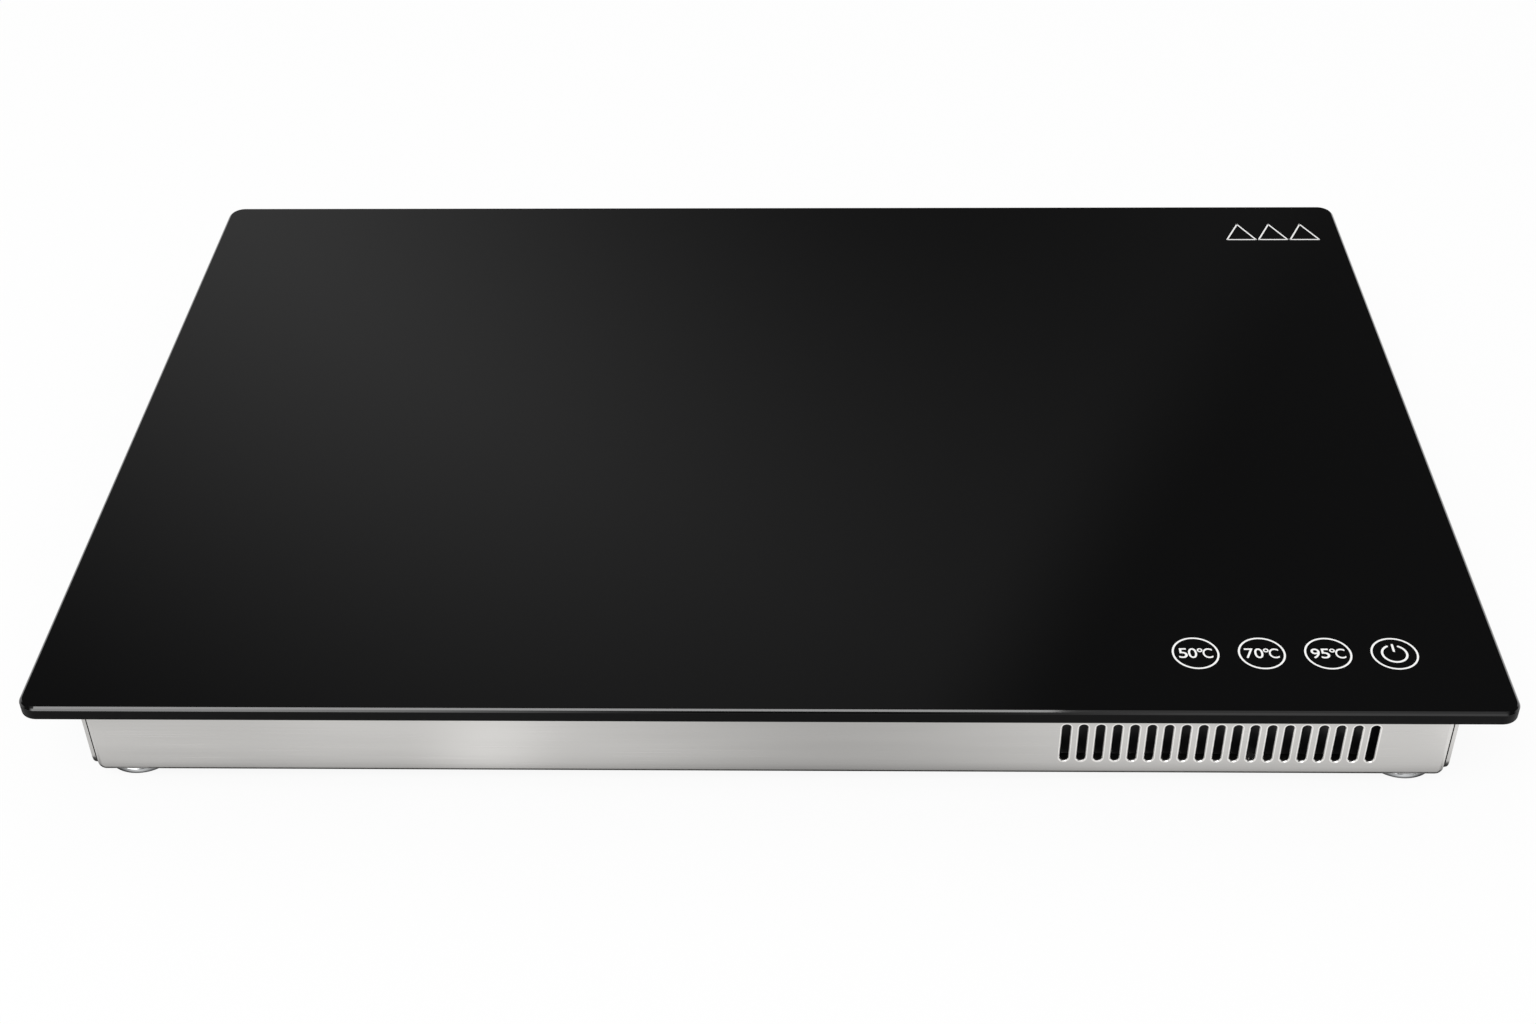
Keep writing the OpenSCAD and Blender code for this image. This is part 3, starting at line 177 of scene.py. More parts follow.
class Term:
    """A value in a node tree; arithmetic with it makes math nodes."""

    def __init__(self, socket):
        self.socket = socket

    def math(self, operation, *others):
        """Result of an operation on this value and others, each a term, a socket or a number."""
        values = dict(enumerate((self, *others)))
        made = add(self.socket.id_data, "Math", values, operation=operation)
        return Term(made.outputs[0])

    def __add__(self, other):
        return self.math("ADD", other)

    def __sub__(self, other):
        return self.math("SUBTRACT", other)

    def __mul__(self, other):
        return self.math("MULTIPLY", other)

    def __abs__(self):
        return self.math("ABSOLUTE")

    def between(self, start, end, low, high, easing="LINEAR"):
        """Goes from low to high as this value goes from start to end, and stays there."""
        made = add(self.socket.id_data, "MapRange",
                   {"Value": self, "From Min": start, "From Max": end, "To Min": low,
                    "To Max": high}, interpolation_type=easing)
        return Term(made.outputs["Result"])

    def step(self, start, end, high=1.0):
        """Eased from 0 to high as this value goes from start to end."""
        return self.between(start, end, 0.0, high, "SMOOTHSTEP")

    def hump(self, middle, reach, high):
        """Soft rise to high at the middle and back to 0 at the reach on either side."""
        return abs(self - middle).step(reach, 0.0, high)


def feed(node, values):
    """Sets or links sockets of a node, by name or number."""
    for key, value in values.items():
        if isinstance(value, Term):
            value = value.socket
        if isinstance(value, bpy.types.NodeSocket):
            node.id_data.links.new(value, node.inputs[key])
        else:
            node.inputs[key].default_value = value
    return node


def add(tree, kind, values=None, **settings):
    """New node with its settings, and with values or links for its sockets."""
    made = tree.nodes.new("ShaderNode" + kind)
    for key, value in settings.items():
        setattr(made, key, value)
    return feed(made, values or {})


def group(tree, name, values):
    """Outputs of one of the shared effects, placed in a tree with its own values."""
    return add(tree, "Group", values, node_tree=bpy.data.node_groups[name]).outputs


def effect(name, inputs, outputs):
    """Empty node group with inputs and outputs, each a name and a kind of socket."""
    tree = bpy.data.node_groups.new(name, "ShaderNodeTree")
    for way, sockets in (("INPUT", inputs), ("OUTPUT", outputs)):
        for label, kind in sockets.items():
            tree.interface.new_socket(label, in_out=way, socket_type="NodeSocket" + kind)
    return tree, tree.nodes.new("NodeGroupInput").outputs, tree.nodes.new("NodeGroupOutput")


def on_object(tree):
    """Object coordinates of the shaded point."""
    return add(tree, "TexCoord").outputs["Object"]


def on_axes(tree):
    """Object coordinates of the shaded point, as a term for each axis."""
    return [Term(axis) for axis in add(tree, "SeparateXYZ", {0: on_object(tree)}).outputs]


def flat_length(a, b):
    return (a * a + b * b).math("SQRT")


def brushed_effect():
    """Long fine scratches along one direction, and a slow drift of tone along the sheet."""
    tree, given, out = effect("Brushed Sheet", {"Fine Scale": "Vector", "Drift Scale": "Vector"},
                              {"Grain": "Float", "Drift": "Float"})
    place = on_object(tree)
    for scale, detail, label in (("Fine Scale", 4.0, "Grain"), ("Drift Scale", 2.0, "Drift")):
        stretched = add(tree, "VectorMath", {0: place, 1: given[scale]}, operation="MULTIPLY")
        noise = add(tree, "TexNoise", {"Vector": stretched.outputs[0], "Scale": 1.0,
                                       "Detail": detail, "Roughness": 0.6})
        feed(out, {label: noise.outputs["Fac"]})


CLOUD_SPAN = (0.32, 0.68)   # values of a noise between which clouds go from low to high
SHEET_SPAN = (0.3, 0.7)     # and the same for a brushed sheet


def clouds(tree, scale, roughness, low, high):
    """Noise on the object, spread over the span from low to high."""
    noise = add(tree, "TexNoise", {"Vector": on_object(tree), "Scale": scale, "Detail": 5.0,
                                   "Roughness": roughness})
    return Term(noise.outputs["Fac"]).between(*CLOUD_SPAN, low, high)


def mottle_effect():
    """Cloudy value between two levels, for uneven gloss."""
    tree, given, out = effect("Mottle", {"Scale": "Float", "Low": "Float", "High": "Float"},
                              {"Value": "Float"})
    feed(out, {"Value": clouds(tree, given["Scale"], 0.62, given["Low"], given["High"])})


def cloudy_effect():
    """A colour that darkens in clouds by a share."""
    tree, given, out = effect(
        "Cloudy Colour", {"Colour": "Color", "Scale": "Float", "Share": "Float"},
        {"Colour": "Color"})
    least = Term(given["Share"]) * -1.0 + 1.0
    level = clouds(tree, given["Scale"], 0.6, least, 1.0)
    shaded = add(tree, "VectorMath", {0: given["Colour"], "Scale": level}, operation="SCALE")
    feed(out, {"Colour": shaded.outputs[0]})


def grit_effect():
    """Height of a fine moulded or fibrous surface."""
    tree, given, out = effect("Grit", {"Scale": "Float", "Coarse": "Float"}, {"Height": "Float"})
    texture = {"Vector": on_object(tree), "Scale": given["Scale"]}
    fine = add(tree, "TexNoise", {**texture, "Detail": 3.0})
    cells = add(tree, "TexVoronoi", texture, feature="SMOOTH_F1")
    both = add(tree, "Mix", {"Factor": given["Coarse"], "A": fine.outputs["Fac"],
                             "B": cells.outputs["Distance"]}, data_type="FLOAT")
    feed(out, {"Height": both.outputs["Result"]})


EFFECTS = (brushed_effect, mottle_effect, cloudy_effect, grit_effect)


# ---- finishes ----

def blank_finish(name, **values):
    """New material; values are sockets of its shader, with spaces for underscores."""
    made = bpy.data.materials.new(name)
    made.use_nodes = True
    shader = made.node_tree.nodes["Principled BSDF"]
    feed(shader, {socket.replace("_", " "): value for socket, value in values.items()})
    return made, made.node_tree, shader


def opaque(rgb):
    return (*rgb, 1.0)


def bump(tree, shader, height, strength, depth):
    """Feeds a height to the shader's normal."""
    made = add(tree, "Bump", {"Strength": strength, "Distance": depth, "Height": height})
    feed(shader, {"Normal": made.outputs["Normal"]})


def mottled(tree, shader, scale, gloss):
    """Gloss that wanders between two levels of roughness."""
    dull = group(tree, "Mottle", {"Scale": scale, "Low": gloss[0], "High": gloss[1]})
    feed(shader, {"Roughness": dull["Value"]})


def uneven(tree, shader, rgb, scale, share, gloss):
    """Cloudy colour, with mottled gloss."""
    tint = group(tree, "Cloudy Colour", {"Colour": opaque(rgb), "Scale": scale, "Share": share})
    feed(shader, {"Base Color": tint["Colour"]})
    mottled(tree, shader, scale * 1.7, gloss)


def glass(colours, name, scale, gloss, **values):
    """Black glass with mottled gloss."""
    made, tree, shader = blank_finish(name, Base_Color=opaque(colours.glass), **values)
    mottled(tree, shader, scale, gloss)
    return made


def white_ink(colours):
    made, tree, shader = blank_finish("White Ink", Specular_IOR_Level=0.3)
    uneven(tree, shader, colours.ink, 900.0, 0.03, (0.35, 0.5))
    return made


def painted_slot_highlight(tree):
    """Share of the painted highlight, a bright line round each slot of the front panel, from 0 to
    1.
    """
    slots = bpy.context.scene.tray_slots
    low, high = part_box("front_panel")
    x, y, z = on_axes(tree)
    back = (x - (high.x - slots.side)) * -1.0
    steps = back.math("DIVIDE", slots.pitch).math("ROUND")
    steps = steps.math("MAXIMUM", 0.0).math("MINIMUM", slots.count - 1.0)
    past = abs(z - (low.z + slots.rise + slots.height / 2)) - (slots.height - slots.width) / 2
    off = flat_length(back - steps * slots.pitch, past.math("MAXIMUM", 0.0))
    rim = slots.width / 2
    return off.step(rim + slots.line, rim + slots.line * 0.6) * y.math("LESS_THAN", 0.0)


def brushed_steel(colours, name, along, bright=None):
    """Stainless sheet brushed along X (0) or Y (1), its colour brightened by a painted highlight
    where a mask says so.
    """
    made, tree, shader = blank_finish(name, Metallic=1.0)
    fine, drift = [2600.0] * 3, [50.0] * 3
    fine[along], drift[along] = 14.0, 5.0
    tones, gloss, slot_highlight_gain = (0.93, 1.04), (0.26, 0.4), 0.55
    sheet = group(tree, "Brushed Sheet", {"Fine Scale": fine, "Drift Scale": drift})
    level = Term(sheet["Drift"]).between(*SHEET_SPAN, *tones)
    if bright:
        # painted highlight: the colour is made brighter along the mask
        level = level * (bright(tree) * slot_highlight_gain + 1.0)
    tinted = add(tree, "VectorMath", {0: colours.steel, "Scale": level}, operation="SCALE")
    feed(shader, {"Base Color": tinted.outputs[0],
                  "Roughness": Term(sheet["Grain"]).between(*SHEET_SPAN, *gloss)})
    bump(tree, shader, sheet["Grain"], 0.5, 0.00003)
    return made


def grained(name, rgb, gloss, scale, share, grit, coarse, relief, depth, **values):
    """Cloudy finish with a fine grain of a depth; values are sockets of its shader."""
    made, tree, shader = blank_finish(name, **values)
    uneven(tree, shader, rgb, scale, share, gloss)
    skin = group(tree, "Grit", {"Scale": grit, "Coarse": coarse})
    bump(tree, shader, skin["Height"], relief, depth)
    return made


def cable_green(colours):
    """Green sheath with slanting yellow bands."""
    made, tree, shader = blank_finish("Earth Lead", Roughness=0.42, IOR=1.46)
    bands = add(tree, "TexWave", {"Vector": on_object(tree), "Scale": 60.0, "Distortion": 0.0},
                bands_direction="DIAGONAL")
    edge = Term(bands.outputs["Fac"]).between(0.6, 0.66, 0.0, 1.0)
    mix_a, mix_b, mix_result = 6, 7, 2
    both = add(tree, "Mix",
               {0: edge, mix_a: opaque(colours.lead_green), mix_b: opaque(colours.lead_yellow)},
               data_type="RGBA")
    feed(shader, {"Base Color": both.outputs[mix_result]})
    return made


def board_green(colours):
    """Solder resist over a net of copper tracks."""
    made, tree, shader = blank_finish("Circuit Board", Roughness=0.3)
    track_rgb = [min(1.0, 2.2 * c) for c in colours.board]
    tracks = add(tree, "TexBrick",
                 {"Vector": on_object(tree), "Color1": opaque(colours.board),
                  "Color2": opaque(colours.board), "Mortar": opaque(track_rgb), "Scale": 90.0,
                  "Mortar Size": 0.06, "Mortar Smooth": 0.1, "Brick Width": 0.9,
                  "Row Height": 0.22}).outputs
    feed(shader, {"Base Color": tracks["Color"]})
    bump(tree, shader, tracks["Fac"], 0.3, 0.00003)
    return made


METAL = {"scale": 120.0, "share": 0.12, "grit": 900.0, "coarse": 0.5, "relief": 0.3,
         "depth": 0.00001, "Metallic": 1.0}
MOULDED = {"scale": 200.0, "share": 0.12, "grit": 2500.0, "coarse": 0.3, "relief": 0.4,
           "depth": 0.00002, "IOR": 1.46}
# slot: name, colour, least and most roughness, and the other values
GRAINED = {
    "screw_steel": ("Screw Steel", "steel", (0.22, 0.34), dict(METAL, scale=600.0, share=0.2)),
    "zinc_steel": ("Zinc Plate", "zinc", (0.3, 0.5),
                   dict(METAL, scale=180.0, share=0.25, grit=500.0)),
    "foot_chrome": ("Foot Chrome", "chrome", (0.07, 0.13),
                    dict(METAL, scale=300.0, share=0.04, depth=0.000002)),
    "spreader_aluminium": ("Mill Aluminium", "aluminium", (0.3, 0.42),
                           dict(METAL, scale=40.0, share=0.08, grit=220.0, depth=0.00012)),
    "contact_brass": ("Contact Brass", "brass", (0.2, 0.35),
                      dict(METAL, scale=500.0, share=0.15)),
    "silicone": ("Silicone Seal", "rubber", (0.45, 0.6), MOULDED),
    "pad_rubber": ("Pad Rubber", "rubber", (0.65, 0.85), dict(MOULDED, share=0.3, grit=1600.0)),
    "cord_silicone": ("Cord Silicone", "cord", (0.4, 0.55),
                      dict(MOULDED, scale=400.0, share=0.2)),
    "insulation": ("Mineral Board", "mineral", (0.85, 1.0),
                   dict(MOULDED, scale=90.0, share=0.3, grit=700.0, coarse=0.6, depth=0.0004)),
    "dark_plastic": ("Black Moulding", "moulding", (0.32, 0.45), MOULDED),
    "white_plastic": ("Natural Nylon", "natural", (0.35, 0.5), dict(MOULDED, share=0.08)),
    "relay_blue": ("Relay Cover", "relay", (0.3, 0.4), MOULDED),
    "capacitor_sleeve": ("Capacitor Sleeve", "sleeve", (0.18, 0.26),
                         dict(MOULDED, depth=0.000005)),
    "terminal_green": ("Terminal Block", "terminal", (0.38, 0.5), MOULDED),
    "cable_grey": ("Grey Lead", "lead_grey", (0.4, 0.55), MOULDED),
    "cable_brown": ("Brown Lead", "lead_brown", (0.35, 0.5), MOULDED),
}
FINISHES = {}


def make_finishes(colours):
    """All effects and finishes, once."""
    for build in EFFECTS:
        build()
    for slot, (name, tint, gloss, values) in GRAINED.items():
        FINISHES[slot] = grained(name, getattr(colours, tint), gloss, **values)
    FINISHES.update({
        "black_glass": glass(colours, "Black Glass", 9.0, (0.035, 0.06), IOR=1.5),
        "ground_edge": glass(colours, "Ground Glass Edge", 300.0, (0.42, 0.55),
                             Specular_IOR_Level=0.07),
        "ink": white_ink(colours),
        "channel_steel": brushed_steel(colours, "Channel Steel", 1),
        "panel_steel": brushed_steel(colours, "Panel Steel", 0, bright=painted_slot_highlight),
        "board_green": board_green(colours),
        "cable_green": cable_green(colours)})


# ---- modelling helpers ----

def bevel(bm, geom, width, segments, profile=0.5, affect="EDGES"):
    bmesh.ops.bevel(bm, geom=geom, offset=width, offset_type="OFFSET", segments=segments,
                    profile=profile, affect=affect, clamp_overlap=True, material=-1)


def soften(bm, width, segments=2, least=40.0, beyond=0.0):
    """Rounds every edge that is sharper than an angle in degrees, and past a radius from Z."""
    sharp = [e for e in bm.edges
             if len(e.link_faces) == 2 and e.calc_face_angle(0.0) > math.radians(least)
             and e.verts[0].co.xy.length >= beyond]
    bevel(bm, sharp, width, segments)


def weld(bm):
    bmesh.ops.remove_doubles(bm, verts=bm.verts, dist=WELD)


def move(bm, way, verts=None):
    bmesh.ops.translate(bm, vec=way, verts=verts or bm.verts)
    return bm


def spin(bm, geom, steps, angle=FULL_TURN, centre=(0, 0, 0), climb=(0, 0, 0), closed=False):
    """Sweeps geometry about an upright axis, with a climb at every step."""
    return bmesh.ops.spin(bm, geom=geom, cent=centre, axis=UP, dvec=climb, angle=angle,
                          steps=steps, use_merge=closed, use_duplicate=False)


def chain(bm, points):
    """Verts and edges along (radius, height) points."""
    verts = [bm.verts.new((r, 0, z)) for r, z in points]
    return verts + [bm.edges.new(pair) for pair in zip(verts, verts[1:])]


def spun(profile, steps):
    """Turned body from (radius, height) points that start and end on the Z axis."""
    bm = bmesh.new()
    spin(bm, chain(bm, profile), steps, closed=True)
    weld(bm)
    return bm


def cut(bm, point, normal, clear=False):
    """Cuts edges and faces at a plane, and can clear what is on the side of its normal."""
    bmesh.ops.bisect_plane(bm, geom=bm.verts[:] + bm.edges[:] + bm.faces[:], dist=1e-8,
                           plane_co=point, plane_no=normal, clear_outer=clear)


def box_round(verts):
    """Lowest and highest corner of the box round some verts."""
    return [Vector([pick(v.co[i] for v in verts) for i in range(3)]) for pick in (min, max)]


def half_width(low, high):
    return (high.x - low.x) / 2


def middle(low, high, level=0.0):
    """Point on the upright line through the middle of a box, at a level."""
    return Vector(((low.x + high.x) / 2, (low.y + high.y) / 2, level))


def verts_in(geom):
    return [g for g in geom if isinstance(g, bmesh.types.BMVert)]


def merged_copy(node):
    """A CAD node's solids, with the corners of their triangles merged."""
    bm = bmesh.new()
    bm.from_mesh(frame["nodes"][node].data)
    weld(bm)
    return bm


def solids(node):
    """Lowest and highest corner of each separate solid of a CAD node."""
    bm = merged_copy(node)
    left = set(bm.verts)
    boxes = []
    while left:
        island, reached = set(), [left.pop()]
        while reached:
            vert = reached.pop()
            island.add(vert)
            near = {e.other_vert(vert) for e in vert.link_edges} & left
            left -= near
            reached += near
        boxes.append(box_round(island))
    bm.free()
    return sorted(boxes, key=lambda box: tuple(round(c, 5) for c in box[0]))


def shown(name, data):
    """New object of some data, in the scene."""
    made = bpy.data.objects.new(name, data)
    bpy.context.collection.objects.link(made)
    return made


def gather(target, part, matrix=None):
    """Adds one bmesh to another, through a transform, and frees it."""
    if matrix is not None:
        bmesh.ops.transform(part, matrix=matrix, verts=part.verts)
    mesh = bpy.data.meshes.new("part")
    part.to_mesh(mesh)
    part.free()
    target.from_mesh(mesh)
    bpy.data.meshes.remove(mesh)


def piece(bm, name, finish, body="root", stands_for=(), crease=35.0, even=True):
    """Turns a bmesh into a finished piece that rides on a body."""
    bmesh.ops.remove_doubles(bm, verts=bm.verts, dist=WELD / 10)
    bmesh.ops.recalc_face_normals(bm, faces=bm.faces)
    mesh = bpy.data.meshes.new(name)
    bm.to_mesh(mesh)
    bm.free()
    mesh.shade_smooth()
    mesh.set_sharp_from_angle(angle=math.radians(crease))
    mesh.materials.append(finish)
    made = shown(name, mesh)
    if even:
        flat = made.modifiers.new("Even Faces", "WEIGHTED_NORMAL")
        flat.keep_sharp = True
    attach(made, body)
    if stands_for:
        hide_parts(*stands_for)
    return made


def stand_in(bm, node, word, even=True):
    """Piece in place of a CAD node, on the same body and with the same slot."""
    body = frame["nodes"][node]["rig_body"]
    slot = next(s["material_slot"] for s in frame["record"]["subparts"] if s["node"] == node)
    piece(bm, f"{node}_{word}", FINISHES[slot], body, (node,), even=even)


def dressed_copy(node, width=0.0, segments=2, least=40.0):
    """Stands for a CAD node with the same form, its edges eased as on the real piece."""
    bm = merged_copy(node)
    bmesh.ops.dissolve_limit(bm, angle_limit=math.radians(0.5), use_dissolve_boundaries=False,
                             verts=bm.verts, edges=bm.edges, delimit=set())
    if width:
        soften(bm, width, segments, least)
    stand_in(bm, node, "finished")


# ---- glass and print ----

def build_glass(sizes):
    low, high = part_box("glass_top")
    high = high - UP * sizes.ink
    bm = bmesh.new()
    bmesh.ops.create_cube(bm, size=1.0)
    bmesh.ops.scale(bm, vec=high - low, verts=bm.verts)
    move(bm, (low + high) / 2)
    upright = [e for e in bm.edges if abs(e.verts[0].co.z - e.verts[1].co.z) > WELD]
    bevel(bm, upright, sizes.corner, 18)
    nearly_flat = 0.31
    for level, width, segments in ((high.z, sizes.bevel, 2), (low.z, sizes.arris, 1)):
        rim = [e for e in bm.edges if all(abs(v.co.z - level) < WELD for v in e.verts)]
        bevel(bm, rim, width, segments, nearly_flat)
    soften(bm, sizes.polish, 2, 30.0)
    plate = piece(bm, "glass_plate", FINISHES["black_glass"], "root", ("glass_top",),
                  crease=8.0)
    plate.data.materials.append(FINISHES["ground_edge"])
    for face in plate.data.polygons:
        side = abs(face.normal.z) < 0.3 and face.center.z < high.z - sizes.bevel
        face.material_index = 1 if side else 0


def round_end(bm, inner, outer, way):
    """Half disc on the end of a flat line, bulging to the side that way gives."""
    spin(bm, [inner], 8, way * math.pi, (inner.co + outer.co) / 2)
    weld(bm)
    loose = [e for e in bm.edges if not e.link_faces]
    ends = {v for e in loose for v in e.verts}
    closing = [e for e in bm.edges if e.is_boundary and all(v in ends for v in e.verts)]
    bmesh.ops.contextual_create(bm, geom=loose + closing)


def nearest(bm, place):
    return min(bm.verts, key=lambda v: (v.co - place).length)


def flat_arc(centre, radius, line, start=0.0, sweep=FULL_TURN, steps=72):
    """Flat ring, or an arc with round ends, seen from above."""
    bm = bmesh.new()
    turn = Vector((math.cos(start), math.sin(start), 0))
    inner = bm.verts.new(centre + turn * (radius - line / 2))
    outer = bm.verts.new(centre + turn * (radius + line / 2))
    edge = bm.edges.new((inner, outer))
    start_in, start_out = inner.co.copy(), outer.co.copy()
    whole = sweep >= FULL_TURN
    made = spin(bm, [inner, outer, edge], steps, sweep, centre, closed=whole)
    if not whole:
        last = sorted(verts_in(made["geom_last"]), key=lambda v: (v.co - centre).length)
        round_end(bm, last[0], last[1], -1)
        round_end(bm, nearest(bm, start_in), nearest(bm, start_out), 1)
    return bm


def flat_bar(start, end, line):
    """Flat straight line with round ends."""
    bm = bmesh.new()
    along = (end - start).normalized()
    across = UP.cross(along) * line / 2
    corners = [bm.verts.new(p)
               for p in (start - across, start + across, end + across, end - across)]
    bm.faces.new(corners)
    round_end(bm, corners[0], corners[1], -1)
    round_end(bm, nearest(bm, end - across), nearest(bm, end + across), 1)
    return bm


def print_piece(bm, name, ink):
    """Gives flat print its thickness, upwards, and makes it a piece."""
    made = bmesh.ops.extrude_face_region(bm, geom=list(bm.faces), use_keep_orig=True)
    move(bm, UP * ink, verts_in(made["geom"]))
    piece(bm, name, FINISHES["ink"], even=False)


def lettering(text, width, height, centre):
    """Figures as flat faces, fitted to a width and a height about a centre."""
    line = bpy.data.curves.new("lettering", "FONT")
    line.body = text
    line.offset = 0.004
    line.resolution_u = 6
    line.fill_mode = "FRONT"
    carrier = shown("lettering", line)
    bpy.context.view_layer.update()
    seen = carrier.evaluated_get(bpy.context.evaluated_depsgraph_get())
    mesh = bpy.data.meshes.new_from_object(seen)
    bm = bmesh.new()
    bm.from_mesh(mesh)
    bpy.data.objects.remove(carrier)
    bpy.data.curves.remove(line)
    bpy.data.meshes.remove(mesh)
    weld(bm)
    low, high = box_round(bm.verts)
    move(bm, -(low + high) / 2)
    fit = (width / (high.x - low.x), height / (high.y - low.y), 1)
    bmesh.ops.scale(bm, vec=fit, verts=bm.verts)
    return move(bm, centre)


def temperature_label(figures, prints, centre):
    """Two figures, a degree ring and the letter C, set close together about a centre."""
    bm = bmesh.new()
    widths = (prints.figure_width, prints.figure_width, prints.degree, prints.letter_width)
    gaps = (prints.figure_gap, prints.figure_gap / 2, -prints.figure_gap / 2, 0.0)
    start = centre.x - (sum(widths) + sum(gaps)) / 2
    for sign, width, gap in zip(figures + "oC", widths, gaps):
        place = Vector((start + width / 2, centre.y, centre.z))
        if sign == "o":
            line = prints.degree / 4
            place.y += (prints.label_height - prints.degree) / 2
            gather(bm, flat_arc(place, (prints.degree - line) / 2, line, steps=32))
        else:
            gather(bm, lettering(sign, width, prints.label_height, place))
        start += width + gap
    return bm


def power_sign(prints, centre):
    """Broken ring with an upright bar in the break."""
    bm = bmesh.new()
    gap = math.radians(27)      # half of the break
    gather(bm, flat_arc(centre, prints.power, prints.power_line, math.pi / 2 + gap,
                        FULL_TURN - 2 * gap, 48))
    foot = centre + Vector((0, prints.power * 0.31, 0))
    tip = centre + Vector((0, prints.power * 1.09, 0))
    gather(bm, flat_bar(foot, tip, prints.power_line))
    return bm


def build_key_prints(prints, ink):
    low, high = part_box("glass_top")
    bm = bmesh.new()
    labels = ("50", "70", "95", None)
    for i, label in enumerate(labels):
        back = (len(labels) - 1 - i) * prints.key_pitch
        centre = Vector((high.x - prints.key_side - back, low.y + prints.key_front, high.z - ink))
        gather(bm, flat_arc(centre, prints.ring, prints.line))
        gather(bm, temperature_label(label, prints, centre) if label
               else power_sign(prints, centre))
    print_piece(bm, "key_prints", ink)


def build_corner_marks(prints, ink):
    """Three outlined triangles that point to the back."""
    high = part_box("glass_top")[1]
    bm = bmesh.new()
    for i in range(3):
        mark = bmesh.new()
        bmesh.ops.create_circle(mark, cap_ends=True, segments=3, radius=1.0)
        least, most = box_round(mark.verts)
        move(mark, (0, -most.y, 0))
        fit = (prints.mark_width / 2 / most.x, prints.mark_height / (most.y - least.y), 1)
        bmesh.ops.scale(mark, vec=fit, verts=mark.verts)
        bevel(mark, mark.verts, prints.line * 0.8, 3, affect="VERTICES")
        inner = bmesh.ops.inset_region(mark, faces=mark.faces, thickness=prints.line,
                                       use_boundary=True, use_even_offset=True)
        rim = set(inner["faces"])
        bmesh.ops.delete(mark, geom=[f for f in mark.faces if f not in rim],
                         context="FACES_ONLY")
        place = Vector((high.x - prints.mark_side - i * prints.mark_pitch,
                        high.y - prints.mark_back, high.z - ink))
        gather(bm, move(mark, place))
    print_piece(bm, "corner_marks", ink)


# ---- feet ----

STUD_STEP = 0.0009      # how far a stud's head stands out past its thread
STUD_LIP = 0.0016       # thickness of the disc over that head


def build_foot_disc(number, sizes):
    """Polished pressing: a dome over an upright rim, a collar, and a socket for the stud."""
    node = f"foot_disc_{number}"
    low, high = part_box(node)
    pad_low, pad_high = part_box(f"foot_pad_{number}")
    stud_low, stud_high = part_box(f"foot_stud_{number}")
    play = 0.00005
    radius = half_width(low, high)
    pad_radius = half_width(pad_low, pad_high) + 2 * play
    head = half_width(stud_low, stud_high) + play
    bore = head - STUD_STEP
    neck = high.z - STUD_LIP
    shoulder = low.z + sizes.rim
    rise = (high.z - shoulder) * 0.93
    dome = [(sizes.collar + (radius - sizes.collar) * math.cos(a) ** 0.9,
             shoulder + rise * math.sin(a) ** 1.15)
            for a in [math.radians(d) for d in range(81, -1, -9)]]
    profile = [(0, stud_low.z - play), (head, stud_low.z - play), (head, neck), (bore, neck),
               (bore, high.z), (sizes.collar, high.z)] + dome + [
        (radius, low.z), (pad_radius, low.z), (pad_radius, pad_high.z), (0, pad_high.z)]
    bm = spun(profile, 72)
    soften(bm, 0.0003, 3, beyond=pad_radius + play)
    stand_in(move(bm, middle(low, high)), node, "polished")


def build_foot_pad(number, sizes):
    """Rubber pad with round grooves in its lower face."""
    node = f"foot_pad_{number}"
    low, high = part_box(node)
    radius = half_width(low, high)
    ribs, rib, core, slant = 4, 0.0014, 0.002, 0.0003
    pitch = (radius - core) / ribs
    profile = [(0, high.z), (radius, high.z), (radius, low.z)]
    for i in range(ribs):
        outer = radius - rib - i * pitch
        inner = outer - pitch + rib
        profile += [(outer, low.z), (outer - slant, low.z + sizes.groove),
                    (inner + slant, low.z + sizes.groove), (inner, low.z)]
    profile.append((0, low.z))
    bm = spun(profile, 48)
    soften(bm, 0.00012)
    stand_in(move(bm, middle(low, high)), node, "ribbed")


def threaded_rod(bottom, top, crest, pitch):
    """Rod with a true helical thread, cut square at both ends."""
    depth, steps = 0.54 * pitch, 20
    root = crest - depth
    bm = bmesh.new()
    points = []
    for i in range(math.ceil((top - bottom) / pitch) + 2):
        height = bottom - 1.5 * pitch + i * pitch
        points += [(radius, height + pitch * share) for radius, share in
                   ((root, 0.0), (root, 0.12), (crest, 0.5), (crest, 0.62))]
    spin(bm, chain(bm, points), steps, climb=UP * pitch / steps)
    weld(bm)
    for level, way in ((bottom, -1), (top, 1)):
        cut(bm, (0, 0, level), UP * way, clear=True)
        rim = [e for e in bm.edges if e.is_boundary
               and all(abs(v.co.z - level) < WELD for v in e.verts)]
        bmesh.ops.contextual_create(bm, geom=rim)
    return bm


def build_foot_stud(number, sizes):
    """Stud that turns in the disc by its head, with the thread above."""
    node = f"foot_stud_{number}"
    low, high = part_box(node)
    head = half_width(low, high)
    crest = head - STUD_STEP
    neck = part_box(f"foot_disc_{number}")[1].z
    under, shank_top = neck - STUD_LIP, neck - 0.0002
    bm = spun([(0, low.z), (head, low.z), (head, under), (crest, under), (crest, shank_top),
               (0, shank_top)], 48)
    soften(bm, 0.0003)
    gather(bm, threaded_rod(neck, high.z, crest - 0.00002, sizes.thread))
    stand_in(move(bm, middle(low, high)), node, "threaded", even=False)


# ---- fasteners ----

SHANK = 0.0016          # radius of the shanks of screws and rivets
FLANGE = 0.0025         # thickness of the inlet's flange


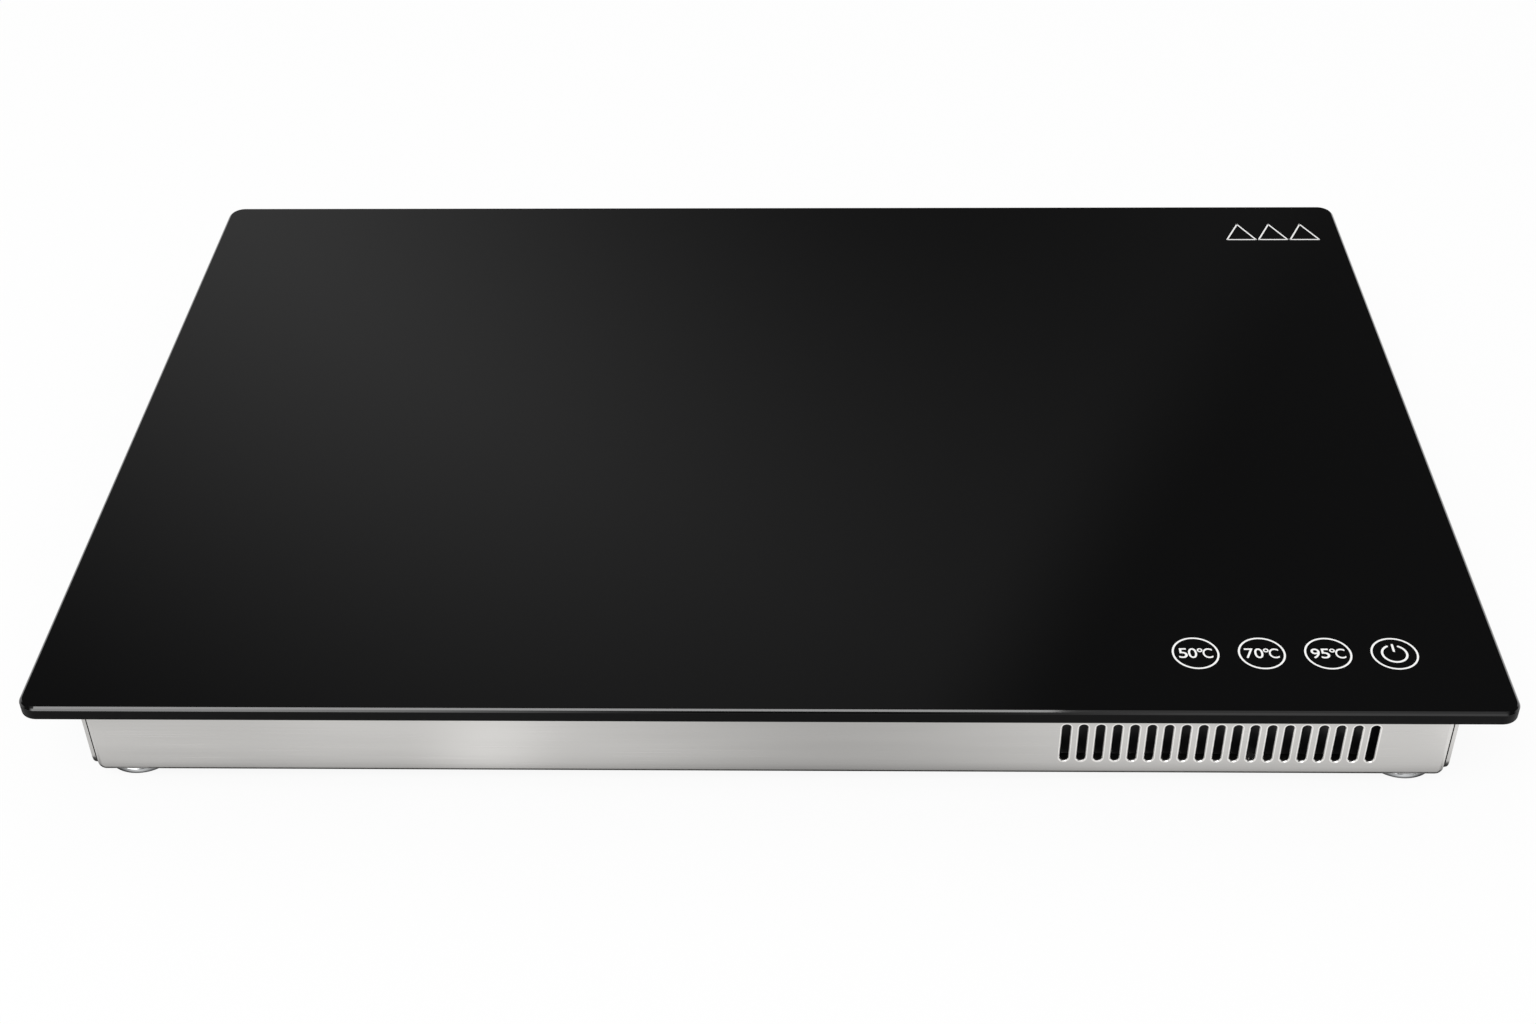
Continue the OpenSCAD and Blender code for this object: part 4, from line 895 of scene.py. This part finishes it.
def cross_screw(head, rise, reach):
    """Pan head with a cross recess, head up, its seat at height 0."""
    bm = spun([(0, rise), (head * 0.45, rise * 0.97), (head * 0.75, rise * 0.82),
               (head * 0.93, rise * 0.5), (head, rise * 0.12), (head, 0), (SHANK, 0),
               (SHANK, -reach), (0, -reach)], 32)
    arm, half = head * 0.62, head * 0.13
    for axis in (Vector((1, 0, 0)), Vector((0, 1, 0))):
        for offset in (-arm, -half, half, arm):
            cut(bm, axis * offset, axis)
    recess = []
    for face in bm.faces:
        centre = face.calc_center_median()
        x, y = abs(centre.x), abs(centre.y)
        if centre.z > rise * 0.5 and min(x, y) < half and max(x, y) < arm:
            recess.append(face)
    bottom = verts_in(bmesh.ops.extrude_face_region(bm, geom=recess)["geom"])
    move(bm, (0, 0, -rise * 0.55), bottom)
    bmesh.ops.scale(bm, vec=(0.8, 0.8, 1), verts=bottom)
    bmesh.ops.delete(bm, geom=[f for f in recess if f.is_valid], context="FACES_ONLY")
    return bm


def build_upright_screws(node, seat, heads_down=False):
    """Screws of a CAD node with their heads on a level seat, up or down."""
    bm = bmesh.new()
    turned = Matrix.Rotation(math.pi if heads_down else 0.0, 4, "X")
    for low, high in solids(node):
        above, below = high.z - seat, seat - low.z
        rise, reach = (below, above) if heads_down else (above, below)
        place = Matrix.Translation(middle(low, high, seat))
        gather(bm, cross_screw(half_width(low, high), rise, reach), place @ turned)
    stand_in(bm, node, "crossed", even=False)


def build_inlet_screws():
    """Screws through the flange of the inlet, with their nuts inside."""
    bm = bmesh.new()
    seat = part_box("rear_panel")[1].y + FLANGE
    head, nut_radius, nut_height, nut_depth = 0.0028, 0.0032, 0.0024, 0.0047
    turned = Matrix.Rotation(-math.pi / 2, 4, "X")
    for low, high in solids("inlet_screws"):
        place = Matrix.Translation(((low.x + high.x) / 2, seat, (low.z + high.z) / 2))
        gather(bm, cross_screw(head, high.y - seat, seat - low.y), place @ turned)
        nut = bmesh.new()
        bmesh.ops.create_cone(nut, cap_ends=True, segments=6, radius1=nut_radius,
                              radius2=nut_radius, depth=nut_height)
        soften(nut, 0.0003)
        gather(bm, nut, Matrix.Translation((0, -nut_depth, 0)) @ place @ turned)
    stand_in(bm, "inlet_screws", "crossed", even=False)


def build_rivets():
    """Domed rivets that hold the rails to the floor."""
    bm = bmesh.new()
    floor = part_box("base_channel")[0].z
    tail_radius, tail_height = 0.0023, 0.0014
    for low, high in solids("rail_rivets"):
        head = half_width(low, high)
        rise = floor - low.z
        tail = high.z - tail_height
        dome = [(head * math.cos(a), floor - rise * math.sin(a))
                for a in [math.radians(d) for d in range(0, 76, 15)]]
        part = spun([(0, high.z), (0.0020, high.z - 0.0002), (tail_radius, tail + 0.0003),
                     (tail_radius, tail), (SHANK, tail), (SHANK, floor)]
                    + dome + [(0, low.z)], 28)
        gather(bm, move(part, middle(low, high)))
    stand_in(bm, "rail_rivets", "domed")


# ---- touch springs ----

def build_touch_springs():
    """Wound springs between the control board and the glass."""
    wire, turns, steps = 0.0007, 5, 28
    bm = bmesh.new()
    for low, high in solids("touch_springs"):
        radius = (high.x - low.x - wire) / 2
        rise = high.z - low.z - wire
        part = bmesh.new()
        bmesh.ops.create_circle(part, segments=10, radius=wire / 2)
        place = Matrix.Translation((radius, 0, low.z + wire / 2))
        bmesh.ops.transform(part, matrix=place @ Matrix.Rotation(math.pi / 2, 4, "X"),
                            verts=part.verts)
        spin(part, part.verts[:] + part.edges[:], turns * steps, turns * FULL_TURN,
             climb=UP * rise / (turns * steps))
        bmesh.ops.holes_fill(part, edges=[e for e in part.edges if e.is_boundary], sides=0)
        gather(bm, move(part, middle(low, high)))
    stand_in(bm, "touch_springs", "wound", even=False)


# ---- operators ----

class WARMING_OT_finishes(bpy.types.Operator):
    """Make the finishes and give every carried-over piece its own"""
    bl_idname = "warming.finishes"
    bl_label = "Finishes"

    def execute(self, context):
        make_finishes(context.scene.tray_colours)
        for part in frame["record"]["subparts"]:
            mesh = frame["nodes"][part["node"]].data
            mesh.materials.clear()
            mesh.materials.append(FINISHES[part["material_slot"]])
        return {"FINISHED"}


class WARMING_OT_glass(bpy.types.Operator):
    """Build the bevelled glass plate"""
    bl_idname = "warming.glass"
    bl_label = "Glass Plate"

    def execute(self, context):
        build_glass(context.scene.tray_glass)
        return {"FINISHED"}


class WARMING_OT_prints(bpy.types.Operator):
    """Print the key rings, the temperatures and the corner marks on the glass"""
    bl_idname = "warming.prints"
    bl_label = "Printed Marks"

    def execute(self, context):
        build_key_prints(context.scene.tray_prints, context.scene.tray_glass.ink)
        build_corner_marks(context.scene.tray_prints, context.scene.tray_glass.ink)
        return {"FINISHED"}


class WARMING_OT_shell(bpy.types.Operator):
    """Finish the pressed panels and the channel of the base"""
    bl_idname = "warming.shell"
    bl_label = "Steel Shell"

    def execute(self, context):
        for node in ("front_panel", "rear_panel", "base_channel"):
            dressed_copy(node)
        return {"FINISHED"}


class WARMING_OT_feet(bpy.types.Operator):
    """Build the levelling feet"""
    bl_idname = "warming.feet"
    bl_label = "Levelling Feet"

    def execute(self, context):
        for number in range(1, FEET + 1):
            build_foot_disc(number, context.scene.tray_feet)
            build_foot_pad(number, context.scene.tray_feet)
            build_foot_stud(number, context.scene.tray_feet)
        dressed_copy("foot_nuts", 0.0006, least=25.0)
        return {"FINISHED"}


class WARMING_OT_fasteners(bpy.types.Operator):
    """Build the screws and rivets"""
    bl_idname = "warming.fasteners"
    bl_label = "Fasteners"

    def execute(self, context):
        build_upright_screws("floor_screws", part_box("base_channel")[0].z, heads_down=True)
        build_upright_screws("board_screws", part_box("power_board")[1].z)
        build_inlet_screws()
        build_rivets()
        return {"FINISHED"}


class WARMING_OT_inlet(bpy.types.Operator):
    """Ease the edges of the mains inlet and its pins"""
    bl_idname = "warming.inlet"
    bl_label = "Mains Inlet"

    def execute(self, context):
        dressed_copy("inlet_body", 0.0004, 3)
        dressed_copy("inlet_pins", 0.0004, 3)
        dressed_copy("earth_stud", 0.0003)
        return {"FINISHED"}


class WARMING_OT_bay(bpy.types.Operator):
    """Finish the mouldings and parts in the electronics bay"""
    bl_idname = "warming.bay"
    bl_label = "Electronics Bay"

    def execute(self, context):
        for node, width in (("board_carrier", 0.0004), ("relay", 0.0006), ("transformer", 0.0005),
                            ("terminal_blocks", 0.0004), ("sensor_plug", 0.0004),
                            ("touch_chip", 0.00015), ("capacitors", 0.0003),
                            ("thermal_cutout", 0.0004), ("cable_clips", 0.0004)):
            dressed_copy(node, width)
        build_touch_springs()
        return {"FINISHED"}


# ---- stage ----

WHITE = (1, 1, 1, 1)
FLOOR_SIZE = 6.0
SOFTBOX_PLACE = Vector((-0.45, -1.55, 2.25))
SOFTBOX_SIZE = (1.7, 1.0)

# the studio in reflections: where each part starts and ends along its direction, and its level
GLOW_IN, GLOW_OUT, GLOW_FADE = (0.552, 0.744), (0.874, 0.725), (0.457, -0.083, 0.308)
HAZE, GLOW_EDGE = (0.093, 0.610, 0.112), (0.017, -0.067)
LAMPS_BOTTOM, LAMPS_TOP = (0.40, 0.50), (0.62, 0.72)
LEFT_LAMP, RIGHT_LAMP, LAMPS_FRONT = (-0.05, -0.30, 5.4), (0.04, 0.20, 1.1), (0.5, 0.75)
WALL, HORIZON = (0.25, 0.6, 0.9), (0.30, 0.10)
DIM_ROOM = 0.038

# the floor in reflections, painted brighter and darker in stretches with a painted shadow under
# the tray, in metres: start, end and level, or middle, reach and level
STRIP, DIM_STRETCH = (-0.120, 0.038, 0.24), (0.032, 0.135, -0.30)
FLOOR_LEFT, FLOOR_RIGHT = (-0.190, -0.230, -0.06), (0.284, 0.301, 0.24)
PAST_SIDES, PAST_FRONT = (0.288, 0.300), (0.185, 0.196)
RING_IN, RING_OUT = (0.0007, 0.003), (0.007, 0.005)
RING_WIDE, RING_FRONT = (0.014, 0.9), (0.172, 0.174)
# level of the painted shadow under the tray, as reflections see it
PAINTED_TRAY_SHADOW = 0.03


def studio_reflection(tree):
    """What polished faces see: a dim room, a soft far-left glow that ends in a slanting edge,
    a pale wall high behind the camera, low lights left and right of it, and a white horizon."""
    direction = add(tree, "TexCoord").outputs["Generated"]

    def along(*axis):
        """How far the looked-at direction points along an axis."""
        made = add(tree, "VectorMath", {0: direction, 1: axis}, operation="DOT_PRODUCT")
        return Term(made.outputs["Value"])

    across, upward = along(0.269, 0.963, 0.0), along(0.785, -0.219, 0.579)
    side, front, height = along(1.0, 0.0, 0.0), along(0.0, -1.0, 0.0), along(0.0, 0.0, 1.0)
    glow = across.step(*GLOW_IN) * across.step(*GLOW_OUT) * upward.step(*GLOW_FADE)
    glow = (glow + upward.step(*HAZE)) * along(1.0, -0.495, 0.377).step(*GLOW_EDGE)
    high_up = height.step(*LAMPS_TOP)
    lamps = side.step(*LEFT_LAMP) + side.step(*RIGHT_LAMP)
    lamps = lamps * (height.step(*LAMPS_BOTTOM) - high_up) * front.step(*LAMPS_FRONT)
    wall = front.step(*WALL) * high_up + lamps
    return (glow + wall + DIM_ROOM).math("MAXIMUM", height.step(*HORIZON))


def mixed(tree, factor, first, second):
    """Shader that goes from one node's to another's with a factor."""
    return add(tree, "MixShader", {0: factor, 1: first.outputs[0], 2: second.outputs[0]})


def build_world(studio):
    """White to the camera, a studio to polished faces, and an even fill for the rest."""
    world = bpy.data.worlds.new("Studio")
    bpy.context.scene.world = world
    world.use_nodes = True
    tree = world.node_tree
    tree.nodes.clear()
    rays = add(tree, "LightPath").outputs
    white, mirrored, fill = [
        add(tree, "Background", {"Color": WHITE, "Strength": strength})
        for strength in (1.0, studio_reflection(tree), studio.fill)]
    soft = mixed(tree, rays["Is Glossy Ray"], fill, mirrored)
    seen = mixed(tree, rays["Is Camera Ray"], soft, white)
    add(tree, "OutputWorld", {"Surface": seen.outputs[0]})


def floor_in_reflections(tree, studio):
    """Painted brightness of the floor as steel sees it: a painted shadow, dark under the tray, but
    for a painted bright ring in front of each foot, with a soft painted bright strip left of the
    middle, a painted dim stretch right of it, and more painted light on the right than on the
    left."""
    x, y = on_axes(tree)[:2]
    off_x, off_y = abs(x), abs(y)
    low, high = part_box("foot_disc_4")
    foot, rim = middle(low, high), half_width(low, high)
    off_foot = flat_length(off_x - foot.x, off_y - foot.y)
    ring = off_foot.step(*[rim + r for r in RING_IN]) * off_foot.step(*[rim + r for r in RING_OUT])
    # painted highlight: a bright ring on the floor in front of each foot, for the gleam of its
    # chrome
    painted_foot_ring = ring * off_x.hump(foot.x, *RING_WIDE) * off_y.step(*RING_FRONT)
    unshaded_floor = off_x.step(*PAST_SIDES).math("MAXIMUM", off_y.step(*PAST_FRONT))
    unshaded_floor = unshaded_floor.math("MAXIMUM", painted_foot_ring)
    level = x.hump(*STRIP) + x.hump(*DIM_STRETCH) + x.step(*FLOOR_LEFT) + x.step(*FLOOR_RIGHT)
    # painted shadow: in reflections the floor stays dark under the tray
    share = unshaded_floor * (1.0 - PAINTED_TRAY_SHADOW) + PAINTED_TRAY_SHADOW
    return (level + 1.0) * studio.gleam * share


def floor_finish(studio):
    """White floor: plain white to the camera, less a share for shadow, with painted brightness in
    stretches and a painted shadow under the tray for the reflections in metal and glass, and clear
    when looked at from below."""
    made = bpy.data.materials.new("Studio Floor")
    made.use_nodes = True
    tree = made.node_tree
    tree.nodes.clear()
    rays = add(tree, "LightPath").outputs
    glow = add(tree, "Emission", {"Color": WHITE, "Strength": 1.0})
    # painted reflections: the patterned brightness of the floor as metal and glass see it
    gleam = add(tree, "Emission", {"Color": WHITE, "Strength": floor_in_reflections(tree, studio)})
    paper = add(tree, "BsdfDiffuse", {"Color": (0.86, 0.86, 0.86, 1)})
    direct = Term(rays["Is Camera Ray"]).math("MAXIMUM", rays["Is Transmission Ray"])
    seen = mixed(tree, direct * (1.0 - studio.floor), paper, glow)
    mirrored = mixed(tree, rays["Is Glossy Ray"], seen, gleam)
    below = add(tree, "NewGeometry").outputs["Backfacing"]
    either_side = mixed(tree, below, mirrored, add(tree, "BsdfTransparent"))
    add(tree, "OutputMaterial", {"Surface": either_side.outputs[0]})
    return made


def build_softbox(power):
    """Large area lamp turned towards the tray."""
    lamp = bpy.data.lights.new("key_softbox", "AREA")
    lamp.shape = "RECTANGLE"
    lamp.size, lamp.size_y = SOFTBOX_SIZE
    lamp.energy = power
    made = shown("key_softbox", lamp)
    made.location = SOFTBOX_PLACE
    made.rotation_euler = (-SOFTBOX_PLACE).to_track_quat("-Z", "Y").to_euler()


class WARMING_OT_stage(bpy.types.Operator):
    """Set the floor, the soft studio light and the camera"""
    bl_idname = "warming.stage"
    bl_label = "Studio"

    def execute(self, context):
        studio = context.scene.tray_studio
        build_world(studio)
        bm = bmesh.new()
        bmesh.ops.create_grid(bm, x_segments=1, y_segments=1, size=FLOOR_SIZE)
        mesh = bpy.data.meshes.new("floor")
        bm.to_mesh(mesh)
        bm.free()
        mesh.materials.append(floor_finish(studio))
        floor = shown("floor", mesh)
        build_softbox(studio.key)
        camera = shown("camera", bpy.data.cameras.new("camera"))
        camera.data.lens = studio.lens
        camera.location = studio.place
        camera.rotation_euler = studio.turn
        context.scene.camera = camera
        context.scene.view_settings.view_transform = "Standard"
        return {"FINISHED"}


OPERATORS = (WARMING_OT_finishes, WARMING_OT_glass, WARMING_OT_prints, WARMING_OT_shell,
             WARMING_OT_feet, WARMING_OT_fasteners, WARMING_OT_inlet, WARMING_OT_bay,
             WARMING_OT_stage)


class WARMING_PT_panel(bpy.types.Panel):
    """Lists the steps of the tray in the order in which they run"""
    bl_label = "Warming Tray"
    bl_space_type = "VIEW_3D"
    bl_region_type = "UI"
    bl_category = "Warming Tray"

    def draw(self, context):
        for operator in OPERATORS:
            self.layout.operator(operator.bl_idname)


SETTINGS = {"tray_glass": GlassSizes, "tray_prints": PrintSizes, "tray_feet": FootSizes,
            "tray_slots": SlotSizes, "tray_colours": Colours, "tray_studio": Studio}


def register():
    for kind in (*SETTINGS.values(), *OPERATORS, WARMING_PT_panel):
        bpy.utils.register_class(kind)
    for name, kind in SETTINGS.items():
        setattr(bpy.types.Scene, name, PointerProperty(type=kind))


def unregister():
    for name in SETTINGS:
        delattr(bpy.types.Scene, name)
    for kind in (WARMING_PT_panel, *reversed(OPERATORS), *reversed(tuple(SETTINGS.values()))):
        bpy.utils.unregister_class(kind)


def main():
    register()
    for operator in OPERATORS:
        getattr(bpy.ops.warming, operator.bl_idname.split(".")[1])()


if __name__ == "__main__":
    main()
